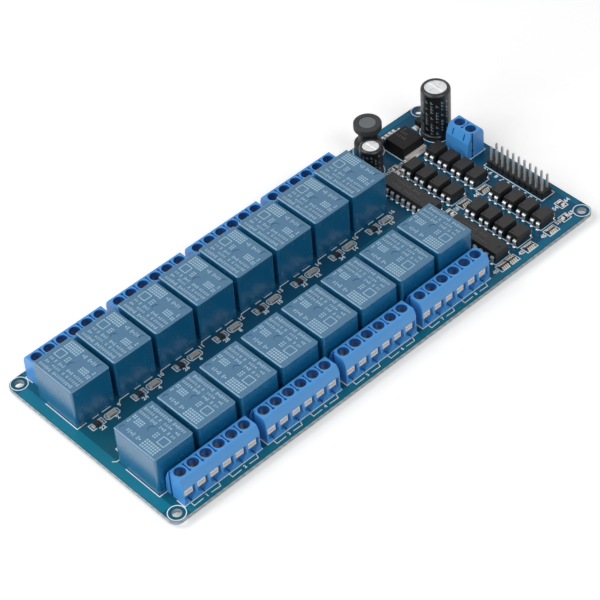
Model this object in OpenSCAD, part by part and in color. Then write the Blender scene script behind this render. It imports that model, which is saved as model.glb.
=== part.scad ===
// Sixteen-channel relay board: a long circuit board with two banks of eight sealed relays,
// a screw terminal row along each long edge and the control electronics at one end.
// The origin is the centre of the four mounting holes on the underside of the board.
// X runs along the board towards the control end, Y across it, Z up through the components.

/* [Circuit board] */
// Thickness of the laminate
board_t = 1.6; // [1.2:0.2:2.4]
// Corner radius of the outline
board_corner_r = 3; // [1:0.5:4]
// Mounting hole diameter
mount_hole_d = 3.2; // [2.8:0.1:3.6]
// Mounting hole centre to the short edge
hole_inset_x = 3.25; // [3:0.25:4]
// Mounting hole centre to the long edge
hole_inset_y = 3; // [3:0.25:4]
// Short edge to the first relay
relay_margin = 4.1; // [4:0.1:8]
// End of the rows to the other short edge, the length given to the control electronics
control_zone = 46.5; // [46:0.5:60]
// Front long edge to the front terminal row
front_margin = 3.2; // [1:0.1:6]
// Rear long edge to the rear terminal row
rear_margin = 2.5; // [1:0.1:6]
// Play between a lead and its hole in the board
lead_play = 0.35; // [0.25:0.05:0.5]
// Length of the trimmed leads below the board
lead_stub = 1.2; // [0.6:0.1:1.5]
// Length of the terminal pins below the board, on which it rests
terminal_stub = 1.8; // [1.7:0.1:2.6]

/* [Relays] */
// Relays in each bank
relay_count = 8; // [7:1:9]
// Centre distance of neighbouring relays
relay_pitch = 17; // [16.5:0.1:19]
// Relay size along the bank
relay_l = 15.4; // [15:0.1:16]
// Relay size across the bank
relay_w = 19; // [18.6:0.1:20]
// Relay height above the board
relay_h = 15.5; // [15:0.1:18]
// Radius of the upright edges of the cover
relay_corner_r = 0.9; // [0.5:0.1:1.5]
// Radius of the edges round the top of the cover
relay_edge_r = 0.5; // [0.3:0.1:0.8]
// Wall of the cover round the base
relay_wall = 1; // [0.8:0.1:1.5]
// Thickness of the base plate
relay_base_t = 1.4; // [1:0.1:2]
// Gap under the base plate
relay_base_lift = 0.3; // [0.2:0.1:0.6]
// Moulding gate dimple in the middle of the cover
relay_dimple_d = 2.8; // [2:0.1:4]
// Vent mark near one corner of the cover
relay_vent_d = 2.2; // [1.5:0.1:3]
// Depth of both marks
relay_mark_depth = 0.2; // [0.1:0.05:0.4]
// Outer pins' axes to the inside of the cover
relay_pin_edge = 0.7; // [0.6:0.05:1.2]
// Coil pins to contact pins along the relay
relay_pin_row = 12.2; // [11:0.1:12.6]
// Common pin to coil pins along the relay
relay_common_step = 2; // [1.6:0.1:2.4]
// Clear strip between the two banks
bank_gap = 19.55; // [18:0.05:26]

/* [Screw terminals] */
// Centre distance of neighbouring poles
pole_pitch = 5.08; // [5:0.04:5.16]
// Poles in one block
poles = 6; // [4:1:6]
// Blocks in each row
block_count = 4; // [3:1:4]
// Centre distance of neighbouring blocks
block_pitch = 33.4; // [33:0.1:35]
// Short edge of the board to the first pole
first_pole = 9.3; // [9:0.1:14]
// End wall beyond the outer poles' centres
pole_end = 2.6; // [2.5:0.05:2.8]
// Height of the housing
housing_h = 10.2; // [9.8:0.1:12]
// Screw axis to the front face at the foot
housing_front = 3.9; // [3.7:0.1:4.5]
// Screw axis to the back face at the foot
housing_back = 4.4; // [4:0.1:5]
// Radius of the round shoulder above the wire entries
shoulder_r = 5; // [4:0.5:9]
// Screw well diameter
well_d = 3.8; // [3.7:0.05:4]
// Wire entry width
entry_w = 4.3; // [4:0.05:4.4]
// Wire entry floor, at the bottom of its funnel
entry_floor = 0.5; // [0.4:0.1:0.8]
// Top of the funnel, where its flanks meet the walls
funnel_top = 2; // [1.4:0.1:2]
// Width of the slot in the floor
floor_slot_w = 0.4; // [0.2:0.05:0.6]
// Wire entry ceiling
entry_top = 6; // [5.8:0.1:6.2]
// Depth of the clamp face behind the front
clamp_recess = 0.85; // [0.8:0.05:1.2]
// Depth of the clamp
clamp_depth = 4.4; // [4.2:0.1:4.4]
// Width of the clamp
clamp_w = 3.4; // [3.3:0.05:3.6]
// Height of the clamp
clamp_h = 3.4; // [3:0.1:3.6]
// Opening left between the jaws
jaw_gap = 0.6; // [0.4:0.1:0.8]
// Thickness of the solder pin
pin_t = 0.6; // [0.5:0.05:0.7]
// Width of the solder pin
pin_w = 1; // [0.8:0.1:1.2]
// Screw head diameter
screw_head_d = 3.5; // [3.2:0.05:3.6]
// Screw head height
screw_head_h = 1; // [0.9:0.1:1.8]
// Screw shank diameter
screw_d = 2.5; // [2.2:0.1:2.8]
// Front bank relay face to its terminal row
front_row_gap = 0.2; // [0.1:0.05:1]
// Rear bank relay face to its terminal row
rear_row_gap = 0.95; // [0.2:0.05:2]
// Clearance round a clamp and a screw
terminal_clearance = 0.1; // [0.05:0.05:0.15]

/* [Control header] */
// Pin columns along the header
header_columns = 10; // [8:1:11]
// Pin pitch
header_pitch = 2.54; // [2.5:0.02:2.6]
// Side of the square pins
header_pin = 0.64; // [0.5:0.02:0.7]
// Height of the plastic body
header_body_h = 2.5; // [2:0.1:3]
// Height of the pins above the board
header_pin_h = 8.5; // [7:0.5:12]
// Header centre line to the short edge
header_inset = 5.67; // [5:0.1:6]

/* [Dual-in-line packages] */
// Width of the moulded body
dip_w = 6.4; // [6.2:0.1:6.6]
// Height of the moulded body
dip_h = 3.5; // [3.2:0.1:3.8]
// Gap under the moulded body
dip_lift = 0.7; // [0.5:0.1:1]
// Distance between the two lead rows
dip_row = 7.62; // [7.5:0.02:7.8]
// Draft of the moulded sides
dip_draft = 0.25; // [0.1:0.05:0.4]
// Thickness of the leads
dip_lead_t = 0.25; // [0.2:0.05:0.3]
// Width of the upper part of the leads
dip_shoulder_w = 1.3; // [1:0.1:1.6]
// Width of the lead tips
dip_tip_w = 0.5; // [0.4:0.05:0.6]
// Lead pairs of a driver
driver_pairs = 9; // [8:1:9]
// Optocouplers in each group of a column
opto_count = 4; // [3:1:4]
// Centre distance of neighbouring optocouplers
opto_pitch = 6.2; // [5.4:0.1:6.4]
// Length of an optocoupler
opto_l = 4.6; // [4.4:0.1:5]

/* [Power supply parts] */
// Large capacitor diameter over the sleeve
large_cap_d = 10.4; // [9.8:0.1:10.8]
// Large capacitor height
large_cap_h = 20.2; // [16:0.1:26]
// Small capacitor diameter over the sleeve
small_cap_d = 8; // [7.6:0.1:8.4]
// Small capacitor height
small_cap_h = 11.2; // [10:0.1:16]
// Thickness of the shrink sleeve
sleeve_t = 0.25; // [0.2:0.05:0.4]
// Coil core diameter
coil_d = 9.8; // [9:0.1:10]
// Coil height above the board
coil_h = 12.9; // [10:0.1:14]
// Gap under the coil, which stands on its leads
coil_lift = 1.6; // [0.5:0.1:2]
// Thickness of the coil core's flanges
coil_flange = 2.6; // [1.6:0.1:3]
// Diameter of the sleeved winding between them
coil_winding_d = 6.8; // [6:0.1:8]
// Regulator body size along the board
regulator_l = 10.1; // [9.8:0.1:10.4]
// Regulator body size across the board
regulator_w = 9.3; // [9:0.1:9.6]
// Regulator body height
regulator_h = 4.5; // [4.3:0.1:4.8]
// Pitch of the regulator leads
regulator_pitch = 1.7; // [1.6:0.01:1.75]

/* [Small chips] */
// Length of a strip resistor and of a strip lamp
chip_l = 3.2; // [2:0.1:3.4]
// Width of a strip resistor and of a strip lamp
chip_w = 1.6; // [1.2:0.1:1.8]
// Thickness of a chip
chip_h = 0.6; // [0.4:0.05:0.8]
// Length of the metal ends of a chip
chip_end = 0.5; // [0.3:0.05:0.6]
// Centre distance of the resistor and the lamp of one channel
strip_step = 5.96; // [5.6:0.02:6.4]

/* [Hidden] */
function two_digits(i) = str(i < 10 ? "0" : "", i);
function relay_name(k, rear) = str("relay_cover_", two_digits(k + 1 + (rear ? relay_count : 0)));
function housing_name(k, rear) = str("terminal_housing_", two_digits(k + 1 + (rear ? block_count : 0)));
NODES = concat(
    ["circuit_board"],
    [for (rear = [false, true], k = [0 : relay_count - 1]) relay_name(k, rear)],
    ["relay_bases_front", "relay_bases_rear", "relay_pins_front", "relay_pins_rear"],
    [for (rear = [false, true], k = [0 : block_count - 1]) housing_name(k, rear)],
    ["terminal_clamps_front", "terminal_clamps_rear", "terminal_screws",
     "power_terminal_housing", "power_terminal_clamps",
     "control_header_body", "control_header_pins",
     "driver_chip_1", "driver_chip_2", "driver_chip_leads",
     "optocouplers_1", "optocouplers_2", "optocouplers_3", "optocouplers_4", "optocoupler_leads",
     "large_capacitor_can", "large_capacitor_sleeve", "small_capacitor_can", "small_capacitor_sleeve",
     "coil_core", "coil_winding", "radial_leads",
     "regulator_body", "regulator_leadframe", "input_diode",
     "channel_lamps", "channel_resistors", "resistor_arrays", "small_chips"]);
node = "all";

// Outline and the lines that everything is placed from
relay_row_l = relay_margin + (relay_count - 1) * relay_pitch + relay_l;
terminal_row_l = first_pole + (poles - 1) * pole_pitch + (block_count - 1) * block_pitch + pole_end;
rows_l = max(relay_row_l, terminal_row_l);
board_l = rows_l + control_zone;
row_depth = housing_front + housing_back;
board_w = front_margin + row_depth + front_row_gap + relay_w + bank_gap
    + relay_w + rear_row_gap + row_depth + rear_margin;
left_edge = -board_l / 2;
right_edge = board_l / 2;
front_edge = -board_w / 2;
rear_edge = board_w / 2;
// Where the control electronics start: the end of the longer row
rows_end = left_edge + rows_l;
hole_x = board_l / 2 - hole_inset_x;
hole_y = board_w / 2 - hole_inset_y;

// Relay banks
relay_x0 = left_edge + relay_margin + relay_l / 2;
front_poles_y = front_edge + front_margin + housing_front;
front_relay_y = front_poles_y + housing_back + front_row_gap + relay_w / 2;
rear_relay_y = front_relay_y + relay_w + bank_gap;
rear_poles_y = rear_relay_y + relay_w / 2 + rear_row_gap + housing_back;
relay_pocket_h = relay_base_lift + relay_base_t;
relay_base_gap = 0.05;
relay_contact_w = 1;
relay_contact_t = 0.5;
relay_coil_d = 0.6;
relay_pin_span = relay_l - 2 * (relay_wall + relay_pin_edge);
// The pins' pattern is centred in the cover: contact pins in front, then coil pins, then the common pin
relay_contact_y = -(relay_pin_row + relay_common_step) / 2;
relay_coil_y = relay_contact_y + relay_pin_row;
relay_common_y = relay_coil_y + relay_common_step;
relay_dimple_y = 0.5;
relay_vent_inset = 2.2;

// Terminal rows
pole_x0 = left_edge + first_pole;
block_x0 = pole_x0 + (poles - 1) * pole_pitch / 2;
housing_lean = 0.2;
back_slant_z = 6.5;
back_slant = 0.4;
top_back_y = housing_back - 1.9;
top_front_y = housing_lean + 1.2 - housing_front;
shoulder_z = 6.3;
shelf_t = 0.4;
well_floor = entry_top + shelf_t;
clamp_front_y = clamp_recess - housing_front + housing_lean;
clamp_back_y = clamp_front_y + clamp_depth;
clamp_top = entry_top - 2 * terminal_clearance;
jaw_t = 0.9;
jaw_side = 0.5;
floor_slot_l = 2;
slit_l = 4;
slit_w = 0.45;
slit_depth = 1.4;
groove_depth = 0.6;
groove_mouth = 0.9;
groove_root = 1.4;
groove_y = top_back_y - 0.6;
window_w = 0.5;
window_h = 2.4;
screw_end_z = clamp_top - clamp_h + jaw_t + jaw_gap;
cross_w = 0.6;
cross_depth = 0.7;
power_poles = 2;
power_margin = 2.5;
power_inset_y = 28.1;
power_x = right_edge - power_margin - housing_front;
power_y = rear_edge - power_inset_y;

// Control header
header_x = right_edge - header_inset;
header_y = -11.73;
header_w = 2 * header_pitch;
header_chamfer = 0.45;
header_tip = 0.5;

// Dual-in-line packages
dip_pitch = 2.54;
dip_lead_z = dip_lift + 0.55 * dip_h;
driver_end = 1.29;
driver_mark_d = 1.4;
driver_mark_inset = 1.6;
opto_mark_d = 0.9;
opto_mark_inset = 1.1;
dip_mark_depth = 0.15;
dip_bend = 0.3;
dip_neck_top = 1.1;
dip_neck_bottom = 0.7;
// The drivers' and optocouplers' steps from the end of the rows, and the Y of the first one of each group
driver_step = 8.4;
driver_y = [7.4, -22.8];
opto_steps = [19.1, 30.4];
opto_group_y = [16.6, -13.1];
driver_x = rows_end + driver_step;
opto_x = [for (step = opto_steps) rows_end + step];

// Power supply parts: steps from the end of the rows, and insets from the right and the rear edge
large_cap_inset = [7.1, 15];
small_cap_step = 10.05;
small_cap_inset_y = 12.85;
coil_step = 16.5;
regulator_step = 26.15;
regulator_inset_y = 12.65;
diode_inset = [7.35, 8.4];
large_cap_x = right_edge - large_cap_inset[0];
large_cap_y = rear_edge - large_cap_inset[1];
large_cap_leads = 5;
large_cap_rim = 1.3;
small_cap_x = rows_end + small_cap_step;
small_cap_y = rear_edge - small_cap_inset_y;
small_cap_leads = 3.5;
small_cap_rim = 0.95;
can_clearance = 0.02;
can_round = 0.8;
bead_z = 2;
bead_depth = 0.4;
radial_lead_d = 0.6;
vent_w = 0.3;
vent_depth = 0.15;
vent_share = 0.8;
coil_x = rows_end + coil_step;
coil_y = rear_edge - coil_d / 2;
coil_post_d = 4.4;
coil_round = 0.4;
coil_dish_d = 6;
coil_dish = 0.3;
coil_leads = 5;
regulator_x = rows_end + regulator_step;
regulator_y = rear_edge - regulator_inset_y;
regulator_draft = 0.4;
regulator_leads = 5;
regulator_lead_w = 0.8;
regulator_lead_t = 0.4;
regulator_lead_z = 2.5;
regulator_reach = 4.6;
regulator_foot = 2.3;
regulator_bend = 0.7;
tab_t = 1.3;
tab_reach = 1.3;
tab_inset = 0.3;
tab_under = 7;
diode_x = right_edge - diode_inset[0];
diode_y = rear_edge - diode_inset[1];
diode_l = 4.3;
diode_w = 2.7;
diode_h = 2.3;
diode_lift = 0.1;
diode_lead_w = 1.8;
diode_lead_t = 0.25;
diode_lead_reach = 0.9;

// Small chips
strip_inset = 3.185;
strip_shift = 0.51;
small_chip_l = 2;
small_chip_w = 1.25;
chip_end_step = 0.05;
array_l = 3.2;
array_w = 1.6;
array_rows = 4;
array_pad = 0.35;
// Resistor arrays: steps from the end of the rows for the row in the middle and the row at the front edge
middle_array_steps = [19.4, 28.9];
middle_array_y = -6.9;
front_array_steps = [6.4, 10.1, 18.6, 29.3];
front_array_inset = 3.8;
array_places = concat([for (step = middle_array_steps) [rows_end + step, middle_array_y, 0]],
                      [for (step = front_array_steps) [rows_end + step, front_edge + front_array_inset, 0]]);
// Single chips: step from the end of the rows or inset from the right edge, then Y and turn
inner_chips = [[12.8, -6.7, 90], [15.9, 22.3, 0], [15.9, 19.8, 0]];
outer_chips = [[5.5, -30.5, 90], [9.6, -35.7, 0]];
chip_places = concat([for (c = inner_chips) [rows_end + c[0], c[1], c[2]]],
                     [for (c = outer_chips) [right_edge - c[0], c[1], c[2]]]);

// Arc from angle a to angle b as n chords
function arc(cx, cy, r, a, b, n = 6) =
    [for (i = [0 : n]) let (t = a + (b - a) * i / n) [cx + r * cos(t), cy + r * sin(t)]];

// Centre of the arc of radius r from p to q that bulges to the right of that line
function arc_centre(p, q, r) = let (d = q - p, h = norm(d) / 2, m = (p + q) / 2)
    m + [-d[1], d[0]] / norm(d) * sqrt(r * r - h * h);

function reversed(list) = [for (i = [len(list) - 1 : -1 : 0]) list[i]];

// Outline of a bent strip of thickness t whose middle line runs through the points p
function beside(a, b, d) = [a[1] - b[1], b[0] - a[0]] / norm(b - a) * d;
function at_bend(a, b, c, d) = let (m = beside(a, b, d) + beside(b, c, d)) b + m * 2 * d * d / (m * m);
function strip_side(p, d) = let (n = len(p) - 1) concat(
    [p[0] + beside(p[0], p[1], d)],
    n > 1 ? [for (i = [1 : n - 1]) at_bend(p[i - 1], p[i], p[i + 1], d)] : [],
    [p[n] + beside(p[n - 1], p[n], d)]);
module bent_strip(p, t) { polygon(concat(strip_side(p, t / 2), reversed(strip_side(p, -t / 2)))); }

module rounded_rect(l, w, r) {
    square([l - 2 * r, w], center = true);
    square([l, w - 2 * r], center = true);
    for (x = [-1, 1], y = [-1, 1])
        translate([x * (l / 2 - r), y * (w / 2 - r)]) circle(r = r, $fn = 48);
}

// Outline of width w and height h standing on the X axis, its two upper corners rounded
module rounded_top(w, h, r) {
    translate([-w / 2, 0]) square([w, h - r]);
    translate([r - w / 2, 0]) square([w - 2 * r, h]);
    for (x = [-1, 1])
        translate([x * (w / 2 - r), h - r]) circle(r = r, $fn = 48);
}

// The two ways in which an outline is stood up: extruded along Y, or along X
module stand_along_y(l) {
    rotate([90, 0, 0]) linear_extrude(l, center = true) children();
}

module stand_along_x(l) {
    rotate([90, 0, 90]) linear_extrude(l, center = true) children();
}

// Places
module on_board() { translate([0, 0, board_t]) children(); }

module at_relay(k, rear) {
    translate([relay_x0 + k * relay_pitch, rear ? rear_relay_y : front_relay_y, 0])
        rotate(rear ? 180 : 0) children();
}

module at_bank(rear) { for (k = [0 : relay_count - 1]) at_relay(k, rear) children(); }

module at_block(k, rear) {
    translate([block_x0 + k * block_pitch, rear ? rear_poles_y : front_poles_y, 0])
        rotate(rear ? 180 : 0) children();
}

module at_poles(n) { for (i = [0 : n - 1]) translate([(i - (n - 1) / 2) * pole_pitch, 0, 0]) children(); }

module at_row(rear) { for (k = [0 : block_count - 1]) at_block(k, rear) at_poles(poles) children(); }

module at_power_terminal() { translate([power_x, power_y, 0]) rotate(90) children(); }

module at_driver(k) { translate([driver_x, driver_y[k], 0]) children(); }

// Four groups of optocouplers: near column rear and front, far column rear and front
module at_opto_group(g) {
    for (i = [0 : opto_count - 1])
        translate([opto_x[floor(g / 2)], opto_group_y[g % 2] - i * opto_pitch, 0]) children();
}

module at_dip_leads(pairs) {
    for (i = [0 : pairs - 1], side = [0, 180])
        rotate(side) translate([dip_row / 2, (i - (pairs - 1) / 2) * dip_pitch, 0]) children();
}

module at_header_pins() {
    for (i = [0 : header_columns - 1], side = [-1, 1])
        translate([header_x + side * header_pitch / 2,
                   header_y + (i - (header_columns - 1) / 2) * header_pitch, 0]) children();
}

module at_two_leads(x, y, span) { for (side = [-1, 1]) translate([x + side * span / 2, y, 0]) children(); }

module at_relay_contacts() {
    for (side = [-1, 1]) translate([side * relay_pin_span / 2, relay_contact_y, 0]) children();
    translate([0, relay_common_y, 0]) children();
}

module at_relay_coil() {
    for (side = [-1, 1]) translate([side * relay_pin_span / 2, relay_coil_y, 0]) children();
}

// The circuit board, with its mounting holes and the holes for the leads, which are l by w or round
module lead_hole(l, w = 0) {
    translate([0, 0, -1]) cylinder(d = norm([l, w]) + lead_play, h = board_t + 2, $fn = 8);
}

module circuit_board() {
    color("#12607a") difference() {
        linear_extrude(board_t) rounded_rect(board_l, board_w, board_corner_r);
        for (x = [-hole_x, hole_x], y = [-hole_y, hole_y])
            translate([x, y, -1]) cylinder(d = mount_hole_d, h = board_t + 2, $fn = 64);
        for (rear = [false, true]) {
            at_bank(rear) {
                at_relay_contacts() lead_hole(relay_contact_w, relay_contact_t);
                at_relay_coil() lead_hole(relay_coil_d);
            }
            at_row(rear) pin_hole();
        }
        at_power_terminal() at_poles(power_poles) pin_hole();
        at_header_pins() lead_hole(header_pin, header_pin);
        for (k = [0, 1]) at_driver(k) at_dip_leads(driver_pairs) lead_hole(dip_tip_w, dip_lead_t);
        for (g = [0 : 3]) at_opto_group(g) at_dip_leads(2) lead_hole(dip_tip_w, dip_lead_t);
        at_two_leads(large_cap_x, large_cap_y, large_cap_leads) lead_hole(radial_lead_d);
        at_two_leads(small_cap_x, small_cap_y, small_cap_leads) lead_hole(radial_lead_d);
        at_two_leads(coil_x, coil_y, coil_leads) lead_hole(radial_lead_d);
    }
}

module pin_hole() { translate([0, clamp_back_y + pin_t / 2, 0]) lead_hole(pin_w, pin_t); }

// A relay: cover with a pocket underneath, base plate in the pocket, five pins through the board
module relay_cover() {
    color("#4f83aa") on_board() difference() {
        intersection() {
            linear_extrude(relay_h) rounded_rect(relay_l, relay_w, relay_corner_r);
            stand_along_y(relay_w + 2) rounded_top(relay_l, relay_h, relay_edge_r);
            stand_along_x(relay_l + 2) rounded_top(relay_w, relay_h, relay_edge_r);
        }
        translate([0, 0, -1]) linear_extrude(relay_pocket_h + 1)
            square([relay_l - 2 * relay_wall, relay_w - 2 * relay_wall], center = true);
        translate([0, relay_dimple_y, relay_h - relay_mark_depth])
            cylinder(d = relay_dimple_d, h = 1, $fn = 48);
        translate([-relay_l / 2, relay_w / 2, relay_h - relay_mark_depth])
            translate(relay_vent_inset * [1, -1]) cylinder(d = relay_vent_d, h = 1, $fn = 48);
    }
}

module relay_base() {
    color("#2b2f33") on_board() translate([0, 0, relay_base_lift]) linear_extrude(relay_base_t)
        square([relay_l, relay_w] - 2 * (relay_wall + relay_base_gap) * [1, 1], center = true);
}

module relay_pins() {
    color("#c9ccce") translate([0, 0, -lead_stub]) {
        pin_length = lead_stub + board_t + relay_base_lift;
        at_relay_contacts() linear_extrude(pin_length)
            square([relay_contact_w, relay_contact_t], center = true);
        at_relay_coil() cylinder(d = relay_coil_d, h = pin_length, $fn = 24);
    }
}

// A screw terminal housing with n poles: wire entries in front (towards -Y), screw wells on top
module housing_outline() {
    top_front = [top_front_y, housing_h];
    shoulder = [housing_lean - housing_front, shoulder_z];
    polygon([[housing_back, 0], [housing_back - back_slant, back_slant_z], [top_back_y, housing_h],
             top_front, shoulder, [-housing_front, 0]]);
    intersection() {
        translate(arc_centre(top_front, shoulder, shoulder_r)) circle(r = shoulder_r, $fn = 96);
        polygon([top_front, shoulder, [shoulder[0] - 1, shoulder[1]], [shoulder[0] - 1, top_front[1]]]);
    }
}

module pole_cuts() {
    translate([0, 0, well_floor]) cylinder(d = well_d, h = housing_h, $fn = 48);
    translate([0, 0, entry_top - 1])
        cylinder(d = screw_d + 4 * terminal_clearance, h = shelf_t + 2, $fn = 48);
    entry_l = housing_front + clamp_back_y + pin_t + 1;
    translate([0, clamp_back_y + pin_t - entry_l / 2, 0]) stand_along_y(entry_l) polygon([
        [-entry_w / 2, entry_top], [-entry_w / 2, funnel_top], [-floor_slot_w / 2, entry_floor],
        [floor_slot_w / 2, entry_floor], [entry_w / 2, funnel_top], [entry_w / 2, entry_top]]);
    translate([-floor_slot_w / 2, -housing_front - 1, -1])
        cube([floor_slot_w, floor_slot_l + 1, entry_floor + 2]);
    translate([-pin_w / 2 - terminal_clearance, clamp_back_y, -1])
        cube([pin_w + 2 * terminal_clearance, pin_t, funnel_top + 1]);
    translate([-window_w / 2, well_d / 2 + shelf_t, back_slant_z + shelf_t])
        cube([window_w, housing_back, window_h]);
}

// Narrow slit between two poles, widened at both ends
module pole_slit() {
    translate([0, 0, housing_h - slit_depth]) linear_extrude(slit_depth + 1) {
        square([slit_w, slit_l], center = true);
        for (y = [-1, 1]) translate([0, y * (slit_l / 2 - slit_w)]) circle(d = 2 * slit_w, $fn = 24);
    }
}

// Dovetail groove by which blocks are lined up
module end_groove() {
    translate([0, groove_y, -1]) linear_extrude(housing_h + 2)
        polygon([[-1, -groove_mouth / 2], [0, -groove_mouth / 2], [groove_depth, -groove_root / 2],
                 [groove_depth, groove_root / 2], [0, groove_mouth / 2], [-1, groove_mouth / 2]]);
}

module terminal_housing(n) {
    length = (n - 1) * pole_pitch + 2 * pole_end;
    color("#3f86d0") on_board() difference() {
        stand_along_x(length) housing_outline();
        at_poles(n) pole_cuts();
        at_poles(n - 1) pole_slit();
        translate([-length / 2, 0, 0]) end_groove();
    }
}

// Clamp of one pole: two jaws joined at the sides, and the solder pin at the back
module terminal_clamp() {
    gap_z = clamp_top - clamp_h + jaw_t;
    color("#cfc8c0") on_board() {
        difference() {
            translate([-clamp_w / 2, clamp_front_y, clamp_top - clamp_h])
                cube([clamp_w, clamp_depth, clamp_h]);
            translate([jaw_side - clamp_w / 2, clamp_front_y - 1, gap_z])
                cube([clamp_w - 2 * jaw_side, clamp_depth + 1 - jaw_side, jaw_gap]);
            translate([0, 0, gap_z]) cylinder(d = screw_d + 2 * terminal_clearance, h = clamp_h, $fn = 48);
        }
        translate([-pin_w / 2, clamp_back_y, -board_t - terminal_stub])
            cube([pin_w, pin_t, board_t + terminal_stub + clamp_top - jaw_t]);
    }
}

module terminal_screw() {
    color("#b9b4ac") on_board() {
        difference() {
            translate([0, 0, well_floor]) cylinder(d = screw_head_d, h = screw_head_h, $fn = 48);
            translate([0, 0, well_floor + screw_head_h]) {
                cube([screw_head_d - 2 * cross_w, cross_w, 2 * cross_depth], center = true);
                cube([cross_w, screw_head_d - 2 * cross_w, 2 * cross_depth], center = true);
            }
        }
        translate([0, 0, screw_end_z]) cylinder(d = screw_d, h = well_floor - screw_end_z, $fn = 48);
    }
}

// Control header: scalloped plastic body and square pins with bevelled tips
module control_header_body() {
    diamond = (header_w + header_pitch - 2 * header_chamfer) / sqrt(2);
    color("#17181a") on_board() linear_extrude(header_body_h) difference() {
        for (i = [0 : header_columns - 1])
            translate([header_x, header_y + (i - (header_columns - 1) / 2) * header_pitch]) intersection() {
                square([header_w, header_pitch], center = true);
                rotate(45) square(diamond, center = true);
            }
        at_header_pins() square(header_pin, center = true);
    }
}

module control_header_pins() {
    half = header_pin / 2;
    outline = [[-half, -board_t - lead_stub], [half, -board_t - lead_stub], [half, header_pin_h - header_tip],
               [half / 2, header_pin_h], [-half / 2, header_pin_h], [-half, header_pin_h - header_tip]];
    color("#d0d2d4") on_board() at_header_pins() intersection() {
        stand_along_y(header_pin) polygon(outline);
        stand_along_x(header_pin) polygon(outline);
    }
}

// Moulded dual-in-line body: widest at the leads, with draft above and below
module dip_outline(w) {
    half = w / 2;
    right = [[half - dip_draft, dip_lift], [half, dip_lead_z - dip_lead_t / 2],
             [half, dip_lead_z + dip_lead_t / 2], [half - dip_draft, dip_lift + dip_h]];
    polygon(concat(right, [for (q = reversed(right)) [-q[0], q[1]]]));
}

module dip_body(length) {
    color("#26272a") on_board() difference() {
        intersection() {
            stand_along_y(length) dip_outline(dip_w);
            stand_along_x(dip_w) dip_outline(length);
        }
        translate([0, 0, dip_lift + dip_h - dip_mark_depth]) linear_extrude(1) children();
    }
}

module driver_chip() {
    half = (driver_pairs - 1) * dip_pitch / 2 + driver_end;
    dip_body(2 * half) translate([0, driver_mark_inset - half]) circle(d = driver_mark_d, $fn = 32);
}

module optocoupler() {
    dip_body(opto_l) translate([opto_mark_inset - dip_w / 2, opto_l / 2 - opto_mark_inset])
        circle(d = opto_mark_d, $fn = 24);
}

// One lead: out of the body, down with a broad shoulder, then narrow through the board
module dip_lead() {
    tip_z = -board_t - lead_stub;
    shoulder = dip_shoulder_w / 2;
    tip = dip_tip_w / 2;
    color("#c9ccce") on_board() intersection() {
        stand_along_y(dip_shoulder_w) bent_strip([
            [(dip_w - dip_row) / 2, dip_lead_z], [-dip_bend, dip_lead_z],
            [0, dip_lead_z - dip_bend], [0, tip_z]], dip_lead_t);
        stand_along_x(dip_row) polygon([
            [shoulder, dip_lead_z + 1], [shoulder, dip_neck_top], [tip, dip_neck_bottom], [tip, tip_z],
            [-tip, tip_z], [-tip, dip_neck_bottom], [-shoulder, dip_neck_top], [-shoulder, dip_lead_z + 1]]);
    }
}

// Electrolytic capacitors: can with a beaded foot, and a sleeve that follows it over the top edge.
// The wall's points run from the foot to the rim, moved outwards by g.
function can_wall(r, h, g) = concat(
    [[r + g, 0], [r + g, bead_z - bead_depth], [r - bead_depth + g, bead_z], [r + g, bead_z + bead_depth]],
    arc(r - can_round, h - can_round, can_round + g, 0, 90));

module capacitor_can(d, h, rim) {
    r = d / 2 - sleeve_t - can_clearance;
    top = h - sleeve_t;
    color("#c6c9cb") on_board() difference() {
        rotate_extrude($fn = 96) polygon(concat([[0, 0]], can_wall(r, top, 0), [[0, top]]));
        for (a = [0, 90]) rotate(a) translate([0, 0, top])
            cube([(d - 2 * rim) * vent_share, vent_w, 2 * vent_depth], center = true);
    }
}

module capacitor_sleeve(d, h, rim) {
    r = d / 2 - sleeve_t - can_clearance;
    top = h - sleeve_t;
    hole = d / 2 - rim;
    color("#1b1c1f") on_board() rotate_extrude($fn = 96) polygon(concat(
        can_wall(r, top, sleeve_t + can_clearance), [[hole, h + can_clearance], [hole, top + can_clearance]],
        reversed(can_wall(r, top, can_clearance))));
}

module lead_wire(lift = 0) {
    color("#c9ccce") translate([0, 0, -lead_stub])
        cylinder(d = radial_lead_d, h = lead_stub + board_t + lift, $fn = 24);
}

module radial_leads() {
    at_two_leads(large_cap_x, large_cap_y, large_cap_leads) lead_wire();
    at_two_leads(small_cap_x, small_cap_y, small_cap_leads) lead_wire();
    at_two_leads(coil_x, coil_y, coil_leads) lead_wire(coil_lift);
}

// Power coil: drum core with a dished top, and the sleeved winding between its flanges
module coil_core() {
    r = coil_d / 2 - coil_round;
    post = coil_post_d / 2;
    foot = coil_lift + coil_flange;
    head = coil_h - coil_flange;
    color("#2b2c2e") on_board() translate([coil_x, coil_y, 0]) difference() {
        rotate_extrude($fn = 96) polygon(concat(
            [[0, coil_lift]], arc(r, coil_lift + coil_round, coil_round, -90, 0),
            arc(r, foot - coil_round, coil_round, 0, 90), [[post, foot], [post, head]],
            arc(r, head + coil_round, coil_round, -90, 0), arc(r, coil_h - coil_round, coil_round, 0, 90),
            [[0, coil_h]]));
        translate([0, 0, coil_h - coil_dish]) cylinder(d = coil_dish_d, h = 1, $fn = 64);
    }
}

module coil_winding() {
    color("#202124") on_board() translate([coil_x, coil_y, coil_lift + coil_flange]) difference() {
        cylinder(d = coil_winding_d, h = coil_h - coil_lift - 2 * coil_flange, $fn = 96);
        translate([0, 0, -1]) cylinder(d = coil_post_d, h = coil_h, $fn = 96);
    }
}

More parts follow.
